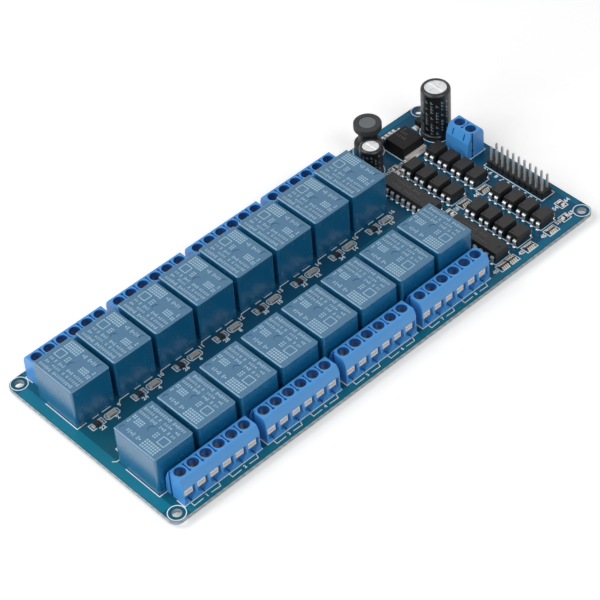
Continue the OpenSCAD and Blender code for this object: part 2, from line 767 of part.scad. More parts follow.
// Regulator: body over a metal tab that lies on the board, five bent leads on the other side
module regulator_outline(w) {
    top = w / 2 - regulator_draft;
    step = tab_t + regulator_draft;
    polygon([[-w / 2, 0], [w / 2, 0], [w / 2, step],
             [top, regulator_h], [-top, regulator_h], [-w / 2, step]]);
}

module regulator_body() {
    color("#232427") on_board() translate([regulator_x, regulator_y, 0]) difference() {
        intersection() {
            stand_along_y(regulator_w) regulator_outline(regulator_l);
            stand_along_x(regulator_l) regulator_outline(regulator_w);
        }
        regulator_tab();
    }
}

module regulator_tab() {
    translate([tab_inset - regulator_l / 2, -regulator_w / 2 - tab_reach, 0])
        cube([regulator_l - 2 * tab_inset, tab_reach + tab_under, tab_t]);
}

module regulator_lead() {
    rest = regulator_lead_t / 2;
    foot = regulator_reach - regulator_foot;
    color("#c9ccce") stand_along_x(regulator_lead_w) bent_strip([
        [0, regulator_lead_z], [foot - regulator_bend, regulator_lead_z],
        [foot, rest], [regulator_reach, rest]], regulator_lead_t);
}

module regulator_leadframe() {
    on_board() translate([regulator_x, regulator_y, 0]) {
        color("#c9ccce") regulator_tab();
        for (i = [0 : regulator_leads - 1])
            translate([(i - (regulator_leads - 1) / 2) * regulator_pitch, regulator_w / 2, 0])
                regulator_lead();
    }
}

// Surface-mounted diode with a flat lead at each end
module input_diode() {
    rest = diode_lead_t / 2;
    on_board() translate([diode_x, diode_y, 0]) {
        color("#232427") translate([0, 0, diode_lift]) linear_extrude(diode_h - diode_lift)
            square([diode_l, diode_w], center = true);
        color("#c9ccce") for (side = [0, 180]) rotate(side) translate([diode_l / 2, 0, 0])
            stand_along_y(diode_lead_w) bent_strip([
                [rest, diode_h / 2], [rest, rest], [diode_lead_reach, rest]], diode_lead_t);
    }
}

// Chip with metal ends
module chip(l, w, h) {
    translate([0, 0, h / 2]) cube([l - chip_end, w, h] - chip_end_step * [0, 2, 2], center = true);
    for (side = [-1, 1])
        translate([side * (l - chip_end) / 2, 0, h / 2]) cube([chip_end, w, h], center = true);
}

// Places of the strip's chips: x from the relay's centre, y from its inner face, for both banks
module at_strip(dx) {
    inner = relay_w / 2 + strip_inset;
    on_board() for (y = [front_relay_y + inner, rear_relay_y - inner], k = [0 : relay_count - 1])
        translate([relay_x0 + k * relay_pitch + strip_shift + dx, y, 0]) children();
}

module channel_lamps() { color("#b9b7b0") at_strip(strip_step / 2) chip(chip_l, chip_w, chip_h); }

module channel_resistors() { color("#2b2320") at_strip(-strip_step / 2) chip(chip_l, chip_w, chip_h); }

// Resistor array: a block with four metal pads along each long side
module resistor_array() {
    pitch = array_l / array_rows;
    translate([0, 0, chip_h / 2]) cube([array_l, array_w - array_pad, chip_h], center = true);
    for (i = [0 : array_rows - 1])
        translate([(i - (array_rows - 1) / 2) * pitch, 0, chip_h / 2 - chip_end_step])
            cube([pitch / 2, array_w, chip_h - 2 * chip_end_step], center = true);
}

module at_places(list) {
    on_board() for (place = list) translate([place[0], place[1], 0]) rotate(place[2]) children();
}

module resistor_arrays() { color("#1f2022") at_places(array_places) resistor_array(); }

module small_chips() { color("#8a7a66") at_places(chip_places) chip(small_chip_l, small_chip_w, chip_h); }

// What is drawn
function wanted(name) = node == "all" || node == name;

if (wanted("circuit_board")) circuit_board();
for (rear = [false, true], k = [0 : relay_count - 1])
    if (wanted(relay_name(k, rear))) at_relay(k, rear) relay_cover();
if (wanted("relay_bases_front")) at_bank(false) relay_base();
if (wanted("relay_bases_rear")) at_bank(true) relay_base();
if (wanted("relay_pins_front")) at_bank(false) relay_pins();
if (wanted("relay_pins_rear")) at_bank(true) relay_pins();
for (rear = [false, true], k = [0 : block_count - 1])
    if (wanted(housing_name(k, rear))) at_block(k, rear) terminal_housing(poles);
if (wanted("terminal_clamps_front")) at_row(false) terminal_clamp();
if (wanted("terminal_clamps_rear")) at_row(true) terminal_clamp();
if (wanted("power_terminal_housing")) at_power_terminal() terminal_housing(power_poles);
if (wanted("power_terminal_clamps")) at_power_terminal() at_poles(power_poles) terminal_clamp();
if (wanted("terminal_screws")) {
    for (rear = [false, true]) at_row(rear) terminal_screw();
    at_power_terminal() at_poles(power_poles) terminal_screw();
}
if (wanted("control_header_body")) control_header_body();
if (wanted("control_header_pins")) control_header_pins();
for (k = [0, 1]) if (wanted(str("driver_chip_", k + 1))) at_driver(k) driver_chip();
if (wanted("driver_chip_leads")) for (k = [0, 1]) at_driver(k) at_dip_leads(driver_pairs) dip_lead();
for (g = [0 : 3]) if (wanted(str("optocouplers_", g + 1))) at_opto_group(g) optocoupler();
if (wanted("optocoupler_leads")) for (g = [0 : 3]) at_opto_group(g) at_dip_leads(2) dip_lead();
translate([large_cap_x, large_cap_y, 0]) {
    if (wanted("large_capacitor_can")) capacitor_can(large_cap_d, large_cap_h, large_cap_rim);
    if (wanted("large_capacitor_sleeve")) capacitor_sleeve(large_cap_d, large_cap_h, large_cap_rim);
}
translate([small_cap_x, small_cap_y, 0]) {
    if (wanted("small_capacitor_can")) capacitor_can(small_cap_d, small_cap_h, small_cap_rim);
    if (wanted("small_capacitor_sleeve")) capacitor_sleeve(small_cap_d, small_cap_h, small_cap_rim);
}
if (wanted("coil_core")) coil_core();
if (wanted("coil_winding")) coil_winding();
if (wanted("radial_leads")) radial_leads();
if (wanted("regulator_body")) regulator_body();
if (wanted("regulator_leadframe")) regulator_leadframe();
if (wanted("input_diode")) input_diode();
if (wanted("channel_lamps")) channel_lamps();
if (wanted("channel_resistors")) channel_resistors();
if (wanted("resistor_arrays")) resistor_arrays();
if (wanted("small_chips")) small_chips();
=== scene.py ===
# %% [markdown]
# # A sixteen-channel relay board
# The part arrives from its construction drawing as solids that already have the right size and place:
# a circuit board, sixteen relays, nine screw terminals and the control electronics.
# This lesson gives those solids their finishes and adds what is too thin or too small to construct,
# such as printing ink, copper tracks, solder and plating. Nothing from the drawing is moved.

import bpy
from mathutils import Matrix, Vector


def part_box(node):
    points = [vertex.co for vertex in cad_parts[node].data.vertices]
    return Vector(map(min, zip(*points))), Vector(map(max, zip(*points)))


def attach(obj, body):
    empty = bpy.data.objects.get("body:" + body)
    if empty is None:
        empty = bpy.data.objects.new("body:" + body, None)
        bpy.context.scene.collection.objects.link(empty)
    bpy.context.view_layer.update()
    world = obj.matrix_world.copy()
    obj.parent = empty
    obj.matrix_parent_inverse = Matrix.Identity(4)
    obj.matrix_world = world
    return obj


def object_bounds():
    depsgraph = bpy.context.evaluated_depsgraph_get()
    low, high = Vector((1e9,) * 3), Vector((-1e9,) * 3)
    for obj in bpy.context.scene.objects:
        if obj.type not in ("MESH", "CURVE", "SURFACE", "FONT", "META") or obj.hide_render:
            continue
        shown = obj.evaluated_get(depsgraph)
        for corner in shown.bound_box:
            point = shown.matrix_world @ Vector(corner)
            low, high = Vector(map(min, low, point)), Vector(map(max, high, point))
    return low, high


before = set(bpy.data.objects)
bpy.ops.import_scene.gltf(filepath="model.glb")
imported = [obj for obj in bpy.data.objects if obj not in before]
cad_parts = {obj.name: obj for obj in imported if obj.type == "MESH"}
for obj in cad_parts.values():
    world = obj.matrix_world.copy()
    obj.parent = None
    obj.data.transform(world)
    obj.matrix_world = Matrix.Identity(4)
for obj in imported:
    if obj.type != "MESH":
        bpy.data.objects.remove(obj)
drawing_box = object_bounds()
print("nodes in the frame:", len(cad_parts))
print("box in mm:", [round(v * 1000, 2) for v in drawing_box[1] - drawing_box[0]])

# %% [markdown]
# ## Units and small helpers
# Blender works in metres here and the board is thought of in millimetres, so every length is written
# in millimetres and multiplied by MM where it becomes a mesh. Places could be typed in, but they are
# read from the solids, so that a piece follows its carrier when the drawing changes.

# %% Units, colours and the place of a solid
import math

import bmesh
import bpy
from mathutils import Matrix, Vector

MM = 0.001


def linear(hex_colour):
    """An sRGB colour written #rrggbb as the linear values that light is added up in."""
    channels = [int(hex_colour[i:i + 2], 16) / 255 for i in (1, 3, 5)]
    return tuple(c / 12.92 if c <= 0.04045 else ((c + 0.055) / 1.055) ** 2.4 for c in channels) + (1.0,)


def corners(node):
    """Lowest and highest corner of a node, in millimetres."""
    low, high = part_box(node)
    return low / MM, high / MM


board_low, board_high = corners("circuit_board")
board_top = board_high.z
board_bottom = board_low.z
print("board in mm:", [round(v, 2) for v in board_high - board_low])

# %% [markdown]
# ## The way pieces are made
# Ink, plating and solder are hundreds of small strokes and drops. Each could be an object of its own,
# but a layer of ink is one thing on the real board too. So the strokes are added to one bmesh, in
# millimetres, and the whole layer becomes one object that rides on the part.

# %% Blocks, bars and turned shapes in millimetres
# Every second bar of a path is thicker by this share, so that no two faces share a height
LAP = 0.05


def add_block(bm, x, y, z, length, width, height, turn=0.0):
    """A block standing on height z with its middle at x, y, turned about the upright axis."""
    place = Matrix.Translation((x, y, z + height / 2)) @ Matrix.Rotation(turn, 4, "Z")
    bmesh.ops.create_cube(bm, size=1, matrix=place @ Matrix.Diagonal((length, width, height, 1)))


def add_bar(bm, start, end, z, width, height):
    """A flat bar from one point to another, long enough that two bars close a corner."""
    run = Vector(end) - Vector(start)
    middle = (Vector(end) + Vector(start)) / 2
    add_block(bm, middle.x, middle.y, z, run.length + width, width, height, math.atan2(run.y, run.x))


def add_path(bm, points, z, width, height):
    """Bars through a list of points."""
    for index, (start, end) in enumerate(zip(points, points[1:])):
        add_bar(bm, start, end, z, width, height * (1 + LAP * (index % 2)))


def rectangle(x0, y0, x1, y1):
    """The points of a closed path round four corners."""
    return [(x0, y0), (x1, y0), (x1, y1), (x0, y1), (x0, y0)]


def add_turned(bm, x, y, profile, steps):
    """A profile of (radius, height) points spun full circle about the upright axis through x, y."""
    verts = [bm.verts.new(Vector((radius, 0, z)) + Vector((x, y, 0))) for radius, z in profile]
    edges = [bm.edges.new(pair) for pair in zip(verts, verts[1:])]
    bmesh.ops.spin(bm, geom=verts + edges, cent=(x, y, 0), axis=(0, 0, 1), angle=math.tau, steps=steps,
                   use_merge=True)


# %% From a bmesh to a piece of the board
def finish_piece(name, bm, material, smooth=False):
    """Turns a bmesh in millimetres into an object that rides on the part."""
    bmesh.ops.remove_doubles(bm, verts=bm.verts, dist=1e-5)
    bmesh.ops.recalc_face_normals(bm, faces=bm.faces)
    bmesh.ops.scale(bm, vec=(MM, MM, MM), verts=bm.verts)
    mesh = bpy.data.meshes.new(name)
    bm.to_mesh(mesh)
    bm.free()
    for polygon in mesh.polygons:
        polygon.use_smooth = smooth
    mesh.materials.append(material)
    piece = bpy.data.objects.new(name, mesh)
    bpy.context.scene.collection.objects.link(piece)
    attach(piece, "root")
    print(f"{name}: {len(mesh.polygons)} faces")


# %% [markdown]
# ## The camera
# The photograph was taken from the front left, about forty-five degrees above the board. A short lens
# close by would fan the rows of relays out. This one is long and stands 0.7 m away, which keeps them
# almost parallel. The roll tips the picture by a few degrees, as in the photograph.

# %% Camera at the photograph's angle
CAMERA_AZIMUTH = math.radians(-40.17)
CAMERA_ELEVATION = math.radians(44.88)
CAMERA_ROLL = math.radians(-4.68)
CAMERA_DISTANCE = 699.4
CAMERA_AIM = Vector((-2.90, 1.07, 0.54))
LENS = 130.5
SENSOR = 36.0

camera_data = bpy.data.cameras.new("camera")
camera_data.lens = LENS
camera_data.sensor_width = SENSOR
camera_data.sensor_fit = "HORIZONTAL"
camera_data.clip_start = 0.05
camera_data.clip_end = 20.0
camera = bpy.data.objects.new("camera", camera_data)
bpy.context.scene.collection.objects.link(camera)
backwards = Vector((math.sin(CAMERA_AZIMUTH) * math.cos(CAMERA_ELEVATION),
                    -math.cos(CAMERA_AZIMUTH) * math.cos(CAMERA_ELEVATION),
                    math.sin(CAMERA_ELEVATION)))
level = (-backwards).to_track_quat("-Z", "Y").to_matrix().to_4x4()
camera.matrix_world = (Matrix.Translation((CAMERA_AIM + backwards * CAMERA_DISTANCE) * MM)
                       @ level @ Matrix.Rotation(CAMERA_ROLL, 4, "Z"))
bpy.context.scene.camera = camera
print("camera at", [round(v, 4) for v in camera.matrix_world.translation])

# %% [markdown]
# ## Materials as small node trees
# Moulded, plated and sprayed surfaces drift a little in colour from place to place and carry a grain
# that breaks up the highlight. Pictures of them could be wrapped round the pieces, but noise on Object
# coordinates needs no unwrapping, has its scale in millimetres and runs on across every face.

# %% Adding nodes and finishing a material
def empty_material(name):
    """A material without nodes."""
    material = bpy.data.materials.new(name)
    material.use_nodes = True
    material.node_tree.nodes.clear()
    return material


def add_node(material, kind, sockets=None, **settings):
    """Adds a node, applies its settings, and sets or links its input sockets."""
    node = material.node_tree.nodes.new(kind)
    for name, value in settings.items():
        setattr(node, name, value)
    for name, value in (sockets or {}).items():
        if isinstance(value, bpy.types.NodeSocket):
            material.node_tree.links.new(value, node.inputs[name])
        else:
            node.inputs[name].default_value = value
    return node


def surface(material, **sockets):
    """The Principled shader and the output. Socket names are written with underscores."""
    named = {key.replace("_", " "): value for key, value in sockets.items()}
    shader = add_node(material, "ShaderNodeBsdfPrincipled", named)
    add_node(material, "ShaderNodeOutputMaterial", {"Surface": shader.outputs["BSDF"]})
    return material


# %% A surface that drifts in colour and has a grain
# Distance over which a moulded colour drifts, and how far the grain moves the roughness up and down
COLOUR_DRIFT = 14.0
GRAIN_WEAR = 0.06


def patterned(material, drift, colours, grain, roughness, wear, depth, **sockets):
    """Two colours mixed by one pattern, and roughness and relief from another."""
    tint = add_node(material, "ShaderNodeMixRGB",
                    {"Fac": drift, "Color1": linear(colours[0]), "Color2": linear(colours[1])})
    relief = add_node(material, "ShaderNodeBump", {"Height": grain, "Strength": 1.0, "Distance": depth * MM})
    rough = add_node(material, "ShaderNodeMapRange",
                     {"Value": grain, "To Min": roughness - wear, "To Max": roughness + wear})
    return surface(material, Base_Color=tint.outputs["Color"], Roughness=rough.outputs["Result"],
                   Normal=relief.outputs["Normal"], **sockets)


def grained(name, colour, drift_colour, roughness, grain, depth, **sockets):
    """A moulded or sprayed surface. The size and depth of its grain are in millimetres."""
    material = empty_material(name)
    place = add_node(material, "ShaderNodeTexCoord").outputs["Object"]
    cloud = add_node(material, "ShaderNodeTexNoise",
                     {"Vector": place, "Scale": 1 / (COLOUR_DRIFT * MM), "Detail": 2.0})
    speck = add_node(material, "ShaderNodeTexNoise",
                     {"Vector": place, "Scale": 1 / (grain * MM), "Detail": 3.0})
    return patterned(material, cloud.outputs["Fac"], (colour, drift_colour), speck.outputs["Fac"],
                     roughness, GRAIN_WEAR, depth, **sockets)


def dress(material, *nodes):
    """Gives nodes of the frame their finish."""
    for node in nodes:
        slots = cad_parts[node].data.materials
        slots.clear()
        slots.append(material)
    print(material.name, "on", len(nodes), "nodes")


# %% [markdown]
# ## The circuit board
# The board is woven glass in epoxy, 1.6 mm thick, with a glossy blue-green solder mask on both faces.
# Its sawn edges show the bare laminate, a dusty grey. They could have a material of their own, but one
# does both, because the way a face points tells mask from edge. The mask turns bluer along the board.

# %% Colour and ripple of the solder mask
# Distance over which the mask drifts in colour, and the width and height of its ripples
MASK_DRIFT = 9
RIPPLE = 0.7
RIPPLE_HEIGHT = 0.006


def along_board(material, place, left_colour, right_colour, start, end):
    """A colour that turns into another between two places along the board, in millimetres."""
    axes = add_node(material, "ShaderNodeSeparateXYZ", {"Vector": place})
    share = add_node(material, "ShaderNodeMapRange",
                     {"Value": axes.outputs["X"], "From Min": start * MM, "From Max": end * MM})
    mix = add_node(material, "ShaderNodeMixRGB",
                   {"Fac": share.outputs["Result"], "Color1": linear(left_colour),
                    "Color2": linear(right_colour)})
    return mix.outputs["Color"]


def mask_colour(material, place, deep, light):
    """Mask that drifts between a deep and a light colour, each turning bluer along the board."""
    cloud = add_node(material, "ShaderNodeTexNoise",
                     {"Vector": place, "Scale": 1 / (MASK_DRIFT * MM), "Detail": 2.0})
    mix = add_node(material, "ShaderNodeMixRGB",
                   {"Fac": cloud.outputs["Fac"], "Color1": along_board(material, place, *deep),
                    "Color2": along_board(material, place, *light)})
    return mix.outputs["Color"]


def mask_ripple(material, place):
    """The gentle unevenness of a sprayed film, as a normal."""
    ripple = add_node(material, "ShaderNodeTexNoise",
                      {"Vector": place, "Scale": 1 / (RIPPLE * MM), "Detail": 2.0})
    relief = add_node(material, "ShaderNodeBump",
                      {"Height": ripple.outputs["Fac"], "Strength": 1.0, "Distance": RIPPLE_HEIGHT * MM})
    return relief.outputs["Normal"]


# %% Solder mask over glass-epoxy laminate
MASK_ROUGHNESS = 0.28
MASK_SPECULAR = 0.15
EDGE_ROUGHNESS = 0.8
# Bands in place of the cloth's threads, which are too fine to show. A diagonal wave repeats each tau / 10
BAND_PITCH = 2.7635


def board_finish():
    """Glossy mask on the faces of the board and rough laminate on its edges."""
    material = empty_material("solder_mask_on_laminate")
    place = add_node(material, "ShaderNodeTexCoord").outputs["Object"]
    normal = add_node(material, "ShaderNodeNewGeometry").outputs["Normal"]
    facing = add_node(material, "ShaderNodeSeparateXYZ", {"Vector": normal})
    upright = add_node(material, "ShaderNodeMath", {0: facing.outputs["Z"]}, operation="ABSOLUTE")
    flat = add_node(material, "ShaderNodeMath", {0: upright.outputs[0], 1: 0.5}, operation="GREATER_THAN")
    mask = mask_colour(material, place, ("#0e5267", "#0c4967", -88, -50), ("#146179", "#12597b", -88, -50))
    weave = add_node(material, "ShaderNodeTexWave",
                     {"Vector": place, "Scale": math.tau / 10 / (BAND_PITCH * MM), "Distortion": 4.0,
                      "Detail": 2.0}, bands_direction="DIAGONAL")
    edge = add_node(material, "ShaderNodeMixRGB",
                    {"Fac": weave.outputs["Fac"], "Color1": linear("#98a4a9"), "Color2": linear("#aeb8bc")})
    colour = add_node(material, "ShaderNodeMixRGB",
                      {"Fac": flat.outputs[0], "Color1": edge.outputs["Color"], "Color2": mask})
    rough = add_node(material, "ShaderNodeMapRange",
                     {"Value": flat.outputs[0], "To Min": EDGE_ROUGHNESS, "To Max": MASK_ROUGHNESS})
    return surface(material, Base_Color=colour.outputs["Color"], Roughness=rough.outputs["Result"],
                   Normal=mask_ripple(material, place), Specular_IOR_Level=MASK_SPECULAR)


dress(board_finish(), "circuit_board")

# %% [markdown]
# ## The relays
# A relay's cover is a shell of moulded polyester with a satin skin. A gloss would mirror the lamps and
# a dull skin would lose the soft veil of light on top, so its roughness lies between, and a high IOR
# strengthens the veil. The base plate in the pocket below is black.

# %% Satin polyester covers and black base plates
relay_blue = grained("satin_moulded_polyester", "#0f638c", "#126892", 0.26, 3.0, 0.01, IOR=1.92)
relay_black = grained("black_moulded_base", "#232629", "#2b2e31", 0.6, 0.4, 0.01)
relay_covers = [f"relay_cover_{number:02d}" for number in range(1, 17)]
dress(relay_blue, *relay_covers)
dress(relay_black, "relay_bases_front", "relay_bases_rear")

# %% [markdown]
# ## The screw terminals
# The housings are polyamide, a lighter blue than the relays, with a fine spark-eroded grain. The screws
# are zinc plated, bare metal with the metallic value at one. Their streaks run from bright zinc to near
# black, and the near-black is painted shade of the deep wells. The clamps are nickel plated. As full
# metals they would mirror the dark round them and turn black, so their metallic value is low.

# %% Polyamide housings, nickel clamps and zinc screws
METAL_WEAR = 0.08


def metal(name, colour, shade, roughness, grain, depth, stretch=(1, 1, 1), bare=1.0):
    """A metal whose streaks or grain are stretched along one direction. Bare is its metallic value."""
    material = empty_material(name)
    place = add_node(material, "ShaderNodeTexCoord").outputs["Object"]
    turned = add_node(material, "ShaderNodeMapping", {"Vector": place, "Scale": stretch})
    streak = add_node(material, "ShaderNodeTexNoise",
                      {"Vector": turned.outputs["Vector"], "Scale": 1 / (grain * MM), "Detail": 4.0})
    pattern = streak.outputs["Fac"]
    return patterned(material, pattern, (colour, shade), pattern, roughness, METAL_WEAR, depth, Metallic=bare)


terminal_blue = grained("moulded_polyamide", "#4294da", "#4a9ce2", 0.36, 0.5, 0.02, IOR=1.62)
nickel = metal("nickel_plated_clamp", "#fffaf5", "#e9e2da", 0.48, 0.6, 0.01, (1, 1, 6), bare=0.12)
# The zinc's near-black streaks are painted shade of the deep wells. Its bright streaks are the metal's own
# colour
zinc = metal("zinc_plated_screw_painted_shade", "#e2ded6", "#2b2926", 0.24, 0.8, 0.1)
housings = [f"terminal_housing_{number:02d}" for number in range(1, 9)] + ["power_terminal_housing"]
dress(terminal_blue, *housings)
dress(nickel, "terminal_clamps_front", "terminal_clamps_rear", "power_terminal_clamps")
dress(zinc, "terminal_screws")

# %% [markdown]
# ## Chips, header, leads, capacitors and coil
# Moulded epoxy is nearly black and fine-grained, header plastic is the same black but smoother, and
# leads carry bright tin. The capacitors are bare aluminium cans in a glossy shrink sleeve. The coil's
# drum is sintered ferrite, a rough dark grey, and its winding is under a black sleeve.

# %% Finishes of the electronic components
epoxy = grained("moulded_epoxy", "#0d0d0e", "#131314", 0.55, 0.35, 0.02)
dull_epoxy = grained("dull_moulded_epoxy", "#0d0d0e", "#131314", 0.6, 0.35, 0.02, Specular_IOR_Level=0.25)
header_plastic = grained("moulded_header_plastic", "#131415", "#1a1b1c", 0.5, 0.5, 0.01,
                         Specular_IOR_Level=0.35)
tin = metal("bright_tin_plating", "#d6d9da", "#b0b4b7", 0.36, 0.5, 0.008, bare=0.5)
# A lit copy of the solder, nearly white and hardly metallic: painted light that keeps tab and pads bright in
# the parts' shade
lit_solder_painted_light = metal("solder_with_painted_light", "#fbf7f2", "#e4dfd8", 0.35, 0.6, 0.01, bare=0.15)
can_aluminium = metal("drawn_aluminium_can", "#f6f6f6", "#b9bdc0", 0.34, 0.9, 0.14)
shrink_sleeve = grained("glossy_shrink_sleeve", "#101113", "#17181b", 0.32, 1.5, 0.02)
ferrite = grained("sintered_ferrite", "#242527", "#303133", 0.7, 0.3, 0.03)
winding_sleeve = grained("winding_sleeve", "#151618", "#1d1e20", 0.5, 0.8, 0.04)
driver_chips = ["driver_chip_1", "driver_chip_2"]
optocouplers = [f"optocouplers_{group}" for group in range(1, 5)]
dress(epoxy, *driver_chips, *optocouplers)
dress(dull_epoxy, "regulator_body", "input_diode")
dress(header_plastic, "control_header_body")
dress(tin, "control_header_pins", "driver_chip_leads", "optocoupler_leads", "radial_leads",
      "relay_pins_front", "relay_pins_rear")
# The regulator's tab gets the solder with painted light, which stays bright in the regulator's shade
dress(lit_solder_painted_light, "regulator_leadframe")
dress(can_aluminium, "large_capacitor_can", "small_capacitor_can")
dress(shrink_sleeve, "large_capacitor_sleeve", "small_capacitor_sleeve")
dress(ferrite, "coil_core")
dress(winding_sleeve, "coil_winding")

# %% [markdown]
# ## Lamps and resistors
# Each channel has a strip lamp in clear resin and a strip resistor under a dark glaze. The resin could
# be see-through, but at this size only its milky beige shows, so the lamp is solid in that colour.

# %% Resin lamps and glazed resistors
lamp_resin = grained("pale_lamp_resin", "#b3aca2", "#c6beb2", 0.35, 0.6, 0.01)
resistor_ceramic = grained("resistor_glaze", "#2c211d", "#3a2c26", 0.4, 0.5, 0.01)
dress(lamp_resin, "channel_lamps")
dress(resistor_ceramic, "channel_resistors", "resistor_arrays", "small_chips")

# %% [markdown]
# ## Reading the small solids
# Leads, pins, chips and lamps come many to a node. A typed list of places would go stale, so a node's
# mesh is split into its loose parts, which tell where each solder joint and outline goes.

# %% Loose parts of a node
def loose_parts(node):
    """The points of each separate solid of a node, in millimetres."""
    bm = bmesh.new()
    bm.from_mesh(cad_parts[node].data)
    bmesh.ops.remove_doubles(bm, verts=bm.verts, dist=1e-6)
    parts = []
    reached = set()
    for seed in bm.verts:
        if seed in reached:
            continue
        reached.add(seed)
        waiting = [seed]
        points = []
        while waiting:
            vert = waiting.pop()
            points.append(vert.co / MM)
            for edge in vert.link_edges:
                other = edge.other_vert(vert)
                if other not in reached:
                    reached.add(other)
                    waiting.append(other)
        parts.append(points)
    bm.free()
    return parts


def extent(points):
    """Lowest and highest corner of some points."""
    return (Vector([min(p[i] for p in points) for i in range(3)]),
            Vector([max(p[i] for p in points) for i in range(3)]))


def parts_of(node):
    """Corners of each separate solid of a node, from left to right and front to back."""
    return sorted((extent(points) for points in loose_parts(node)), key=lambda c: (round(c[0].x, 1), c[0].y))


def tips_of(node):
    """Where the lower ends of a node's leads are: middle, and size along X and Y."""
    tips = []
    for points in loose_parts(node):
        lowest = min(p.z for p in points)
        low, high = extent([p for p in points if p.z < lowest + 0.01])
        tips.append(((low + high) / 2, high - low))
    return sorted(tips, key=lambda t: (round(t[0].x, 1), t[0].y))


relays_front = [corners(name) for name in relay_covers[:8]]
relays_rear = [corners(name) for name in relay_covers[8:]]
blocks_front = [corners(name) for name in housings[:4]]
blocks_rear = [corners(name) for name in housings[4:8]]
print("pins under the front relays:", len(tips_of("relay_pins_front")))

# %% [markdown]
# ## The walls of the screw wells
# The pins that mould the wells are polished, so the walls are smooth. Their blue is deeper than the
# grained outside, and that deeper blue is painted shade for the little light that gets down a deep well.
# The housing's own material can't tell them apart, so a wall as thin as paper inside each well carries
# that second finish.

# %% Smooth walls with painted shade inside the screw wells
WELL_RADIUS = 1.9
WELL_SKIN = 0.03
WELL_RIM = 0.15
WELL_STEPS = 24

# The deeper blue of these walls is painted shade of the deep wells
well_painted_shade_blue = grained("polished_polyamide_well_painted_shade", "#1b569b", "#2160a6", 0.3, 0.5, 0.004)
painted_shade_walls = bmesh.new()
for low, high in parts_of("terminal_screws"):
    middle = (low + high) / 2
    inner = WELL_RADIUS - WELL_SKIN
    top = blocks_front[0][1].z - WELL_RIM
    ring = rectangle(inner, high.z, WELL_RADIUS, top)
    add_turned(painted_shade_walls, middle.x, middle.y, ring[::-1], WELL_STEPS)
finish_piece("terminal_well_painted_shade", painted_shade_walls, well_painted_shade_blue)

# %% [markdown]
# ## Printing on the relay covers
# Relay covers carry pale pad-printed lines that run across the bank. Here the print is generic: rows
# of small boxes and bars in place of lines of text, and grids of squares and a plain frame in place of
# marks. It could be a pattern in the cover's material, but ink is crisp and stands a little proud, so
# each stroke is a thin block.

# %% The layout of the print
INK_THICK = 0.02
PRINT_LINE = 0.2
PRINT_BAR = 0.26
PRINT_CELL = 0.92
PRINT_WIDE = 0.56
# Each row of small shapes: place along the relay, start and end across it, and height
PRINT_ROWS = [(-5.1, 5.6, -0.4, 1.5), (2.2, 8.2, 4.2, 1.2), (4.0, 8.2, 4.2, 1.1), (2.2, 3.2, 1.1, 1.2),
              (4.0, 3.2, 1.1, 1.1), (2.2, -0.8, -4.9, 1.2), (4.0, -0.8, -4.4, 1.1), (2.2, -6.0, -7.8, 1.2),
              (4.0, -6.0, -7.8, 1.1), (5.9, 8.2, -8.0, 1.3)]
# Each grid of squares: place along and across of its middle, columns, rows, square and step
PRINT_GRIDS = [(-5.0, -4.5, 4, 7, 0.62, 0.92), (-0.9, 5.1, 3, 4, 0.55, 0.85), (-0.2, 7.9, 2, 2, 0.5, 0.8),
               (-2.4, 8.2, 2, 1, 0.5, 0.8), (-0.7, -2.2, 3, 2, 0.5, 0.85)]
# The order in which shapes follow each other in a row
PRINT_KINDS = ["box", "bars", "square", "box", "bar", "gap", "bars", "box", "square", "bars", "box"]
# The frame: place along and across, side, and width of its line
PRINT_FRAME = (-0.9, -5.9, 3.0, 0.3)


def add_print_shape(bm, row, index, x, y, z, height):
    """A small box, two bars, a bar, a square or nothing, in one cell of a row."""
    kind = PRINT_KINDS[(index * 4 + row * 3) % len(PRINT_KINDS)]
    edge = (PRINT_WIDE - PRINT_LINE) / 2
    rise = (height - PRINT_LINE) / 2
    if kind in ("box", "bars"):
        for side in (-1, 1):
            add_block(bm, x, y + side * edge, z, height, PRINT_LINE, INK_THICK)
    if kind == "box":
        for side in (-1, 1):
            add_block(bm, x + side * rise, y, z, PRINT_LINE, PRINT_WIDE, INK_THICK)
    if kind == "bar":
        add_block(bm, x, y, z, height, PRINT_BAR, INK_THICK)
    if kind == "square":
        add_block(bm, x, y, z, PRINT_WIDE, PRINT_WIDE, INK_THICK)


# %% Pale print on the covers
pad_print = grained("pale_pad_printing", "#adcbdd", "#9bbfd4", 0.5, 0.4, 0.01)


def relay_print(name, cover, side):
    """The print on one cover. Side is -1 on the rear bank, which is turned half round."""
    low, high = cover
    middle = (low + high) / 2
    bm = bmesh.new()
    for row, (along, begin, end, height) in enumerate(PRINT_ROWS):
        for index in range(int((begin - end) / PRINT_CELL) + 1):
            y = middle.y + side * (begin - index * PRINT_CELL)
            add_print_shape(bm, row, index, middle.x + side * along, y, high.z, height)
    for along, across, columns, rows, square, step in PRINT_GRIDS:
        for column in range(columns):
            for row in range(rows):
                x = along + (column - (columns - 1) / 2) * step
                y = across + (row - (rows - 1) / 2) * step
                add_block(bm, middle.x + side * x, middle.y + side * y, high.z, square, square, INK_THICK)
    along, across, square, line = PRINT_FRAME
    x, y, half = middle.x + side * along, middle.y + side * across, square / 2
    add_path(bm, rectangle(x - half, y - half, x + half, y + half), high.z, line, INK_THICK)
    finish_piece(name, bm, pad_print)


for number, cover in enumerate(relays_front + relays_rear, start=1):
    relay_print(f"relay_print_{number:02d}", cover, -1 if number > 8 else 1)

# %% [markdown]
# ## Faint marks on the chips
# A laser turns the black epoxy a little greyer. These marks could have shapes of their own, but at this
# size the generic shapes of the relay print look the same.

# %% Grey marks on the drivers and the regulator
MARK_STEP = 1.1
MARK_HEIGHT = 1.3
# Share of a package's width to each side
MARK_REACH = 0.3
# Places of the rows along the board, from the middle of each package
MARK_ROWS = {"driver_chip_1": (-1.3, 1.1), "driver_chip_2": (-1.3, 1.1), "regulator_body": (-0.4, 1.6, 3.2)}

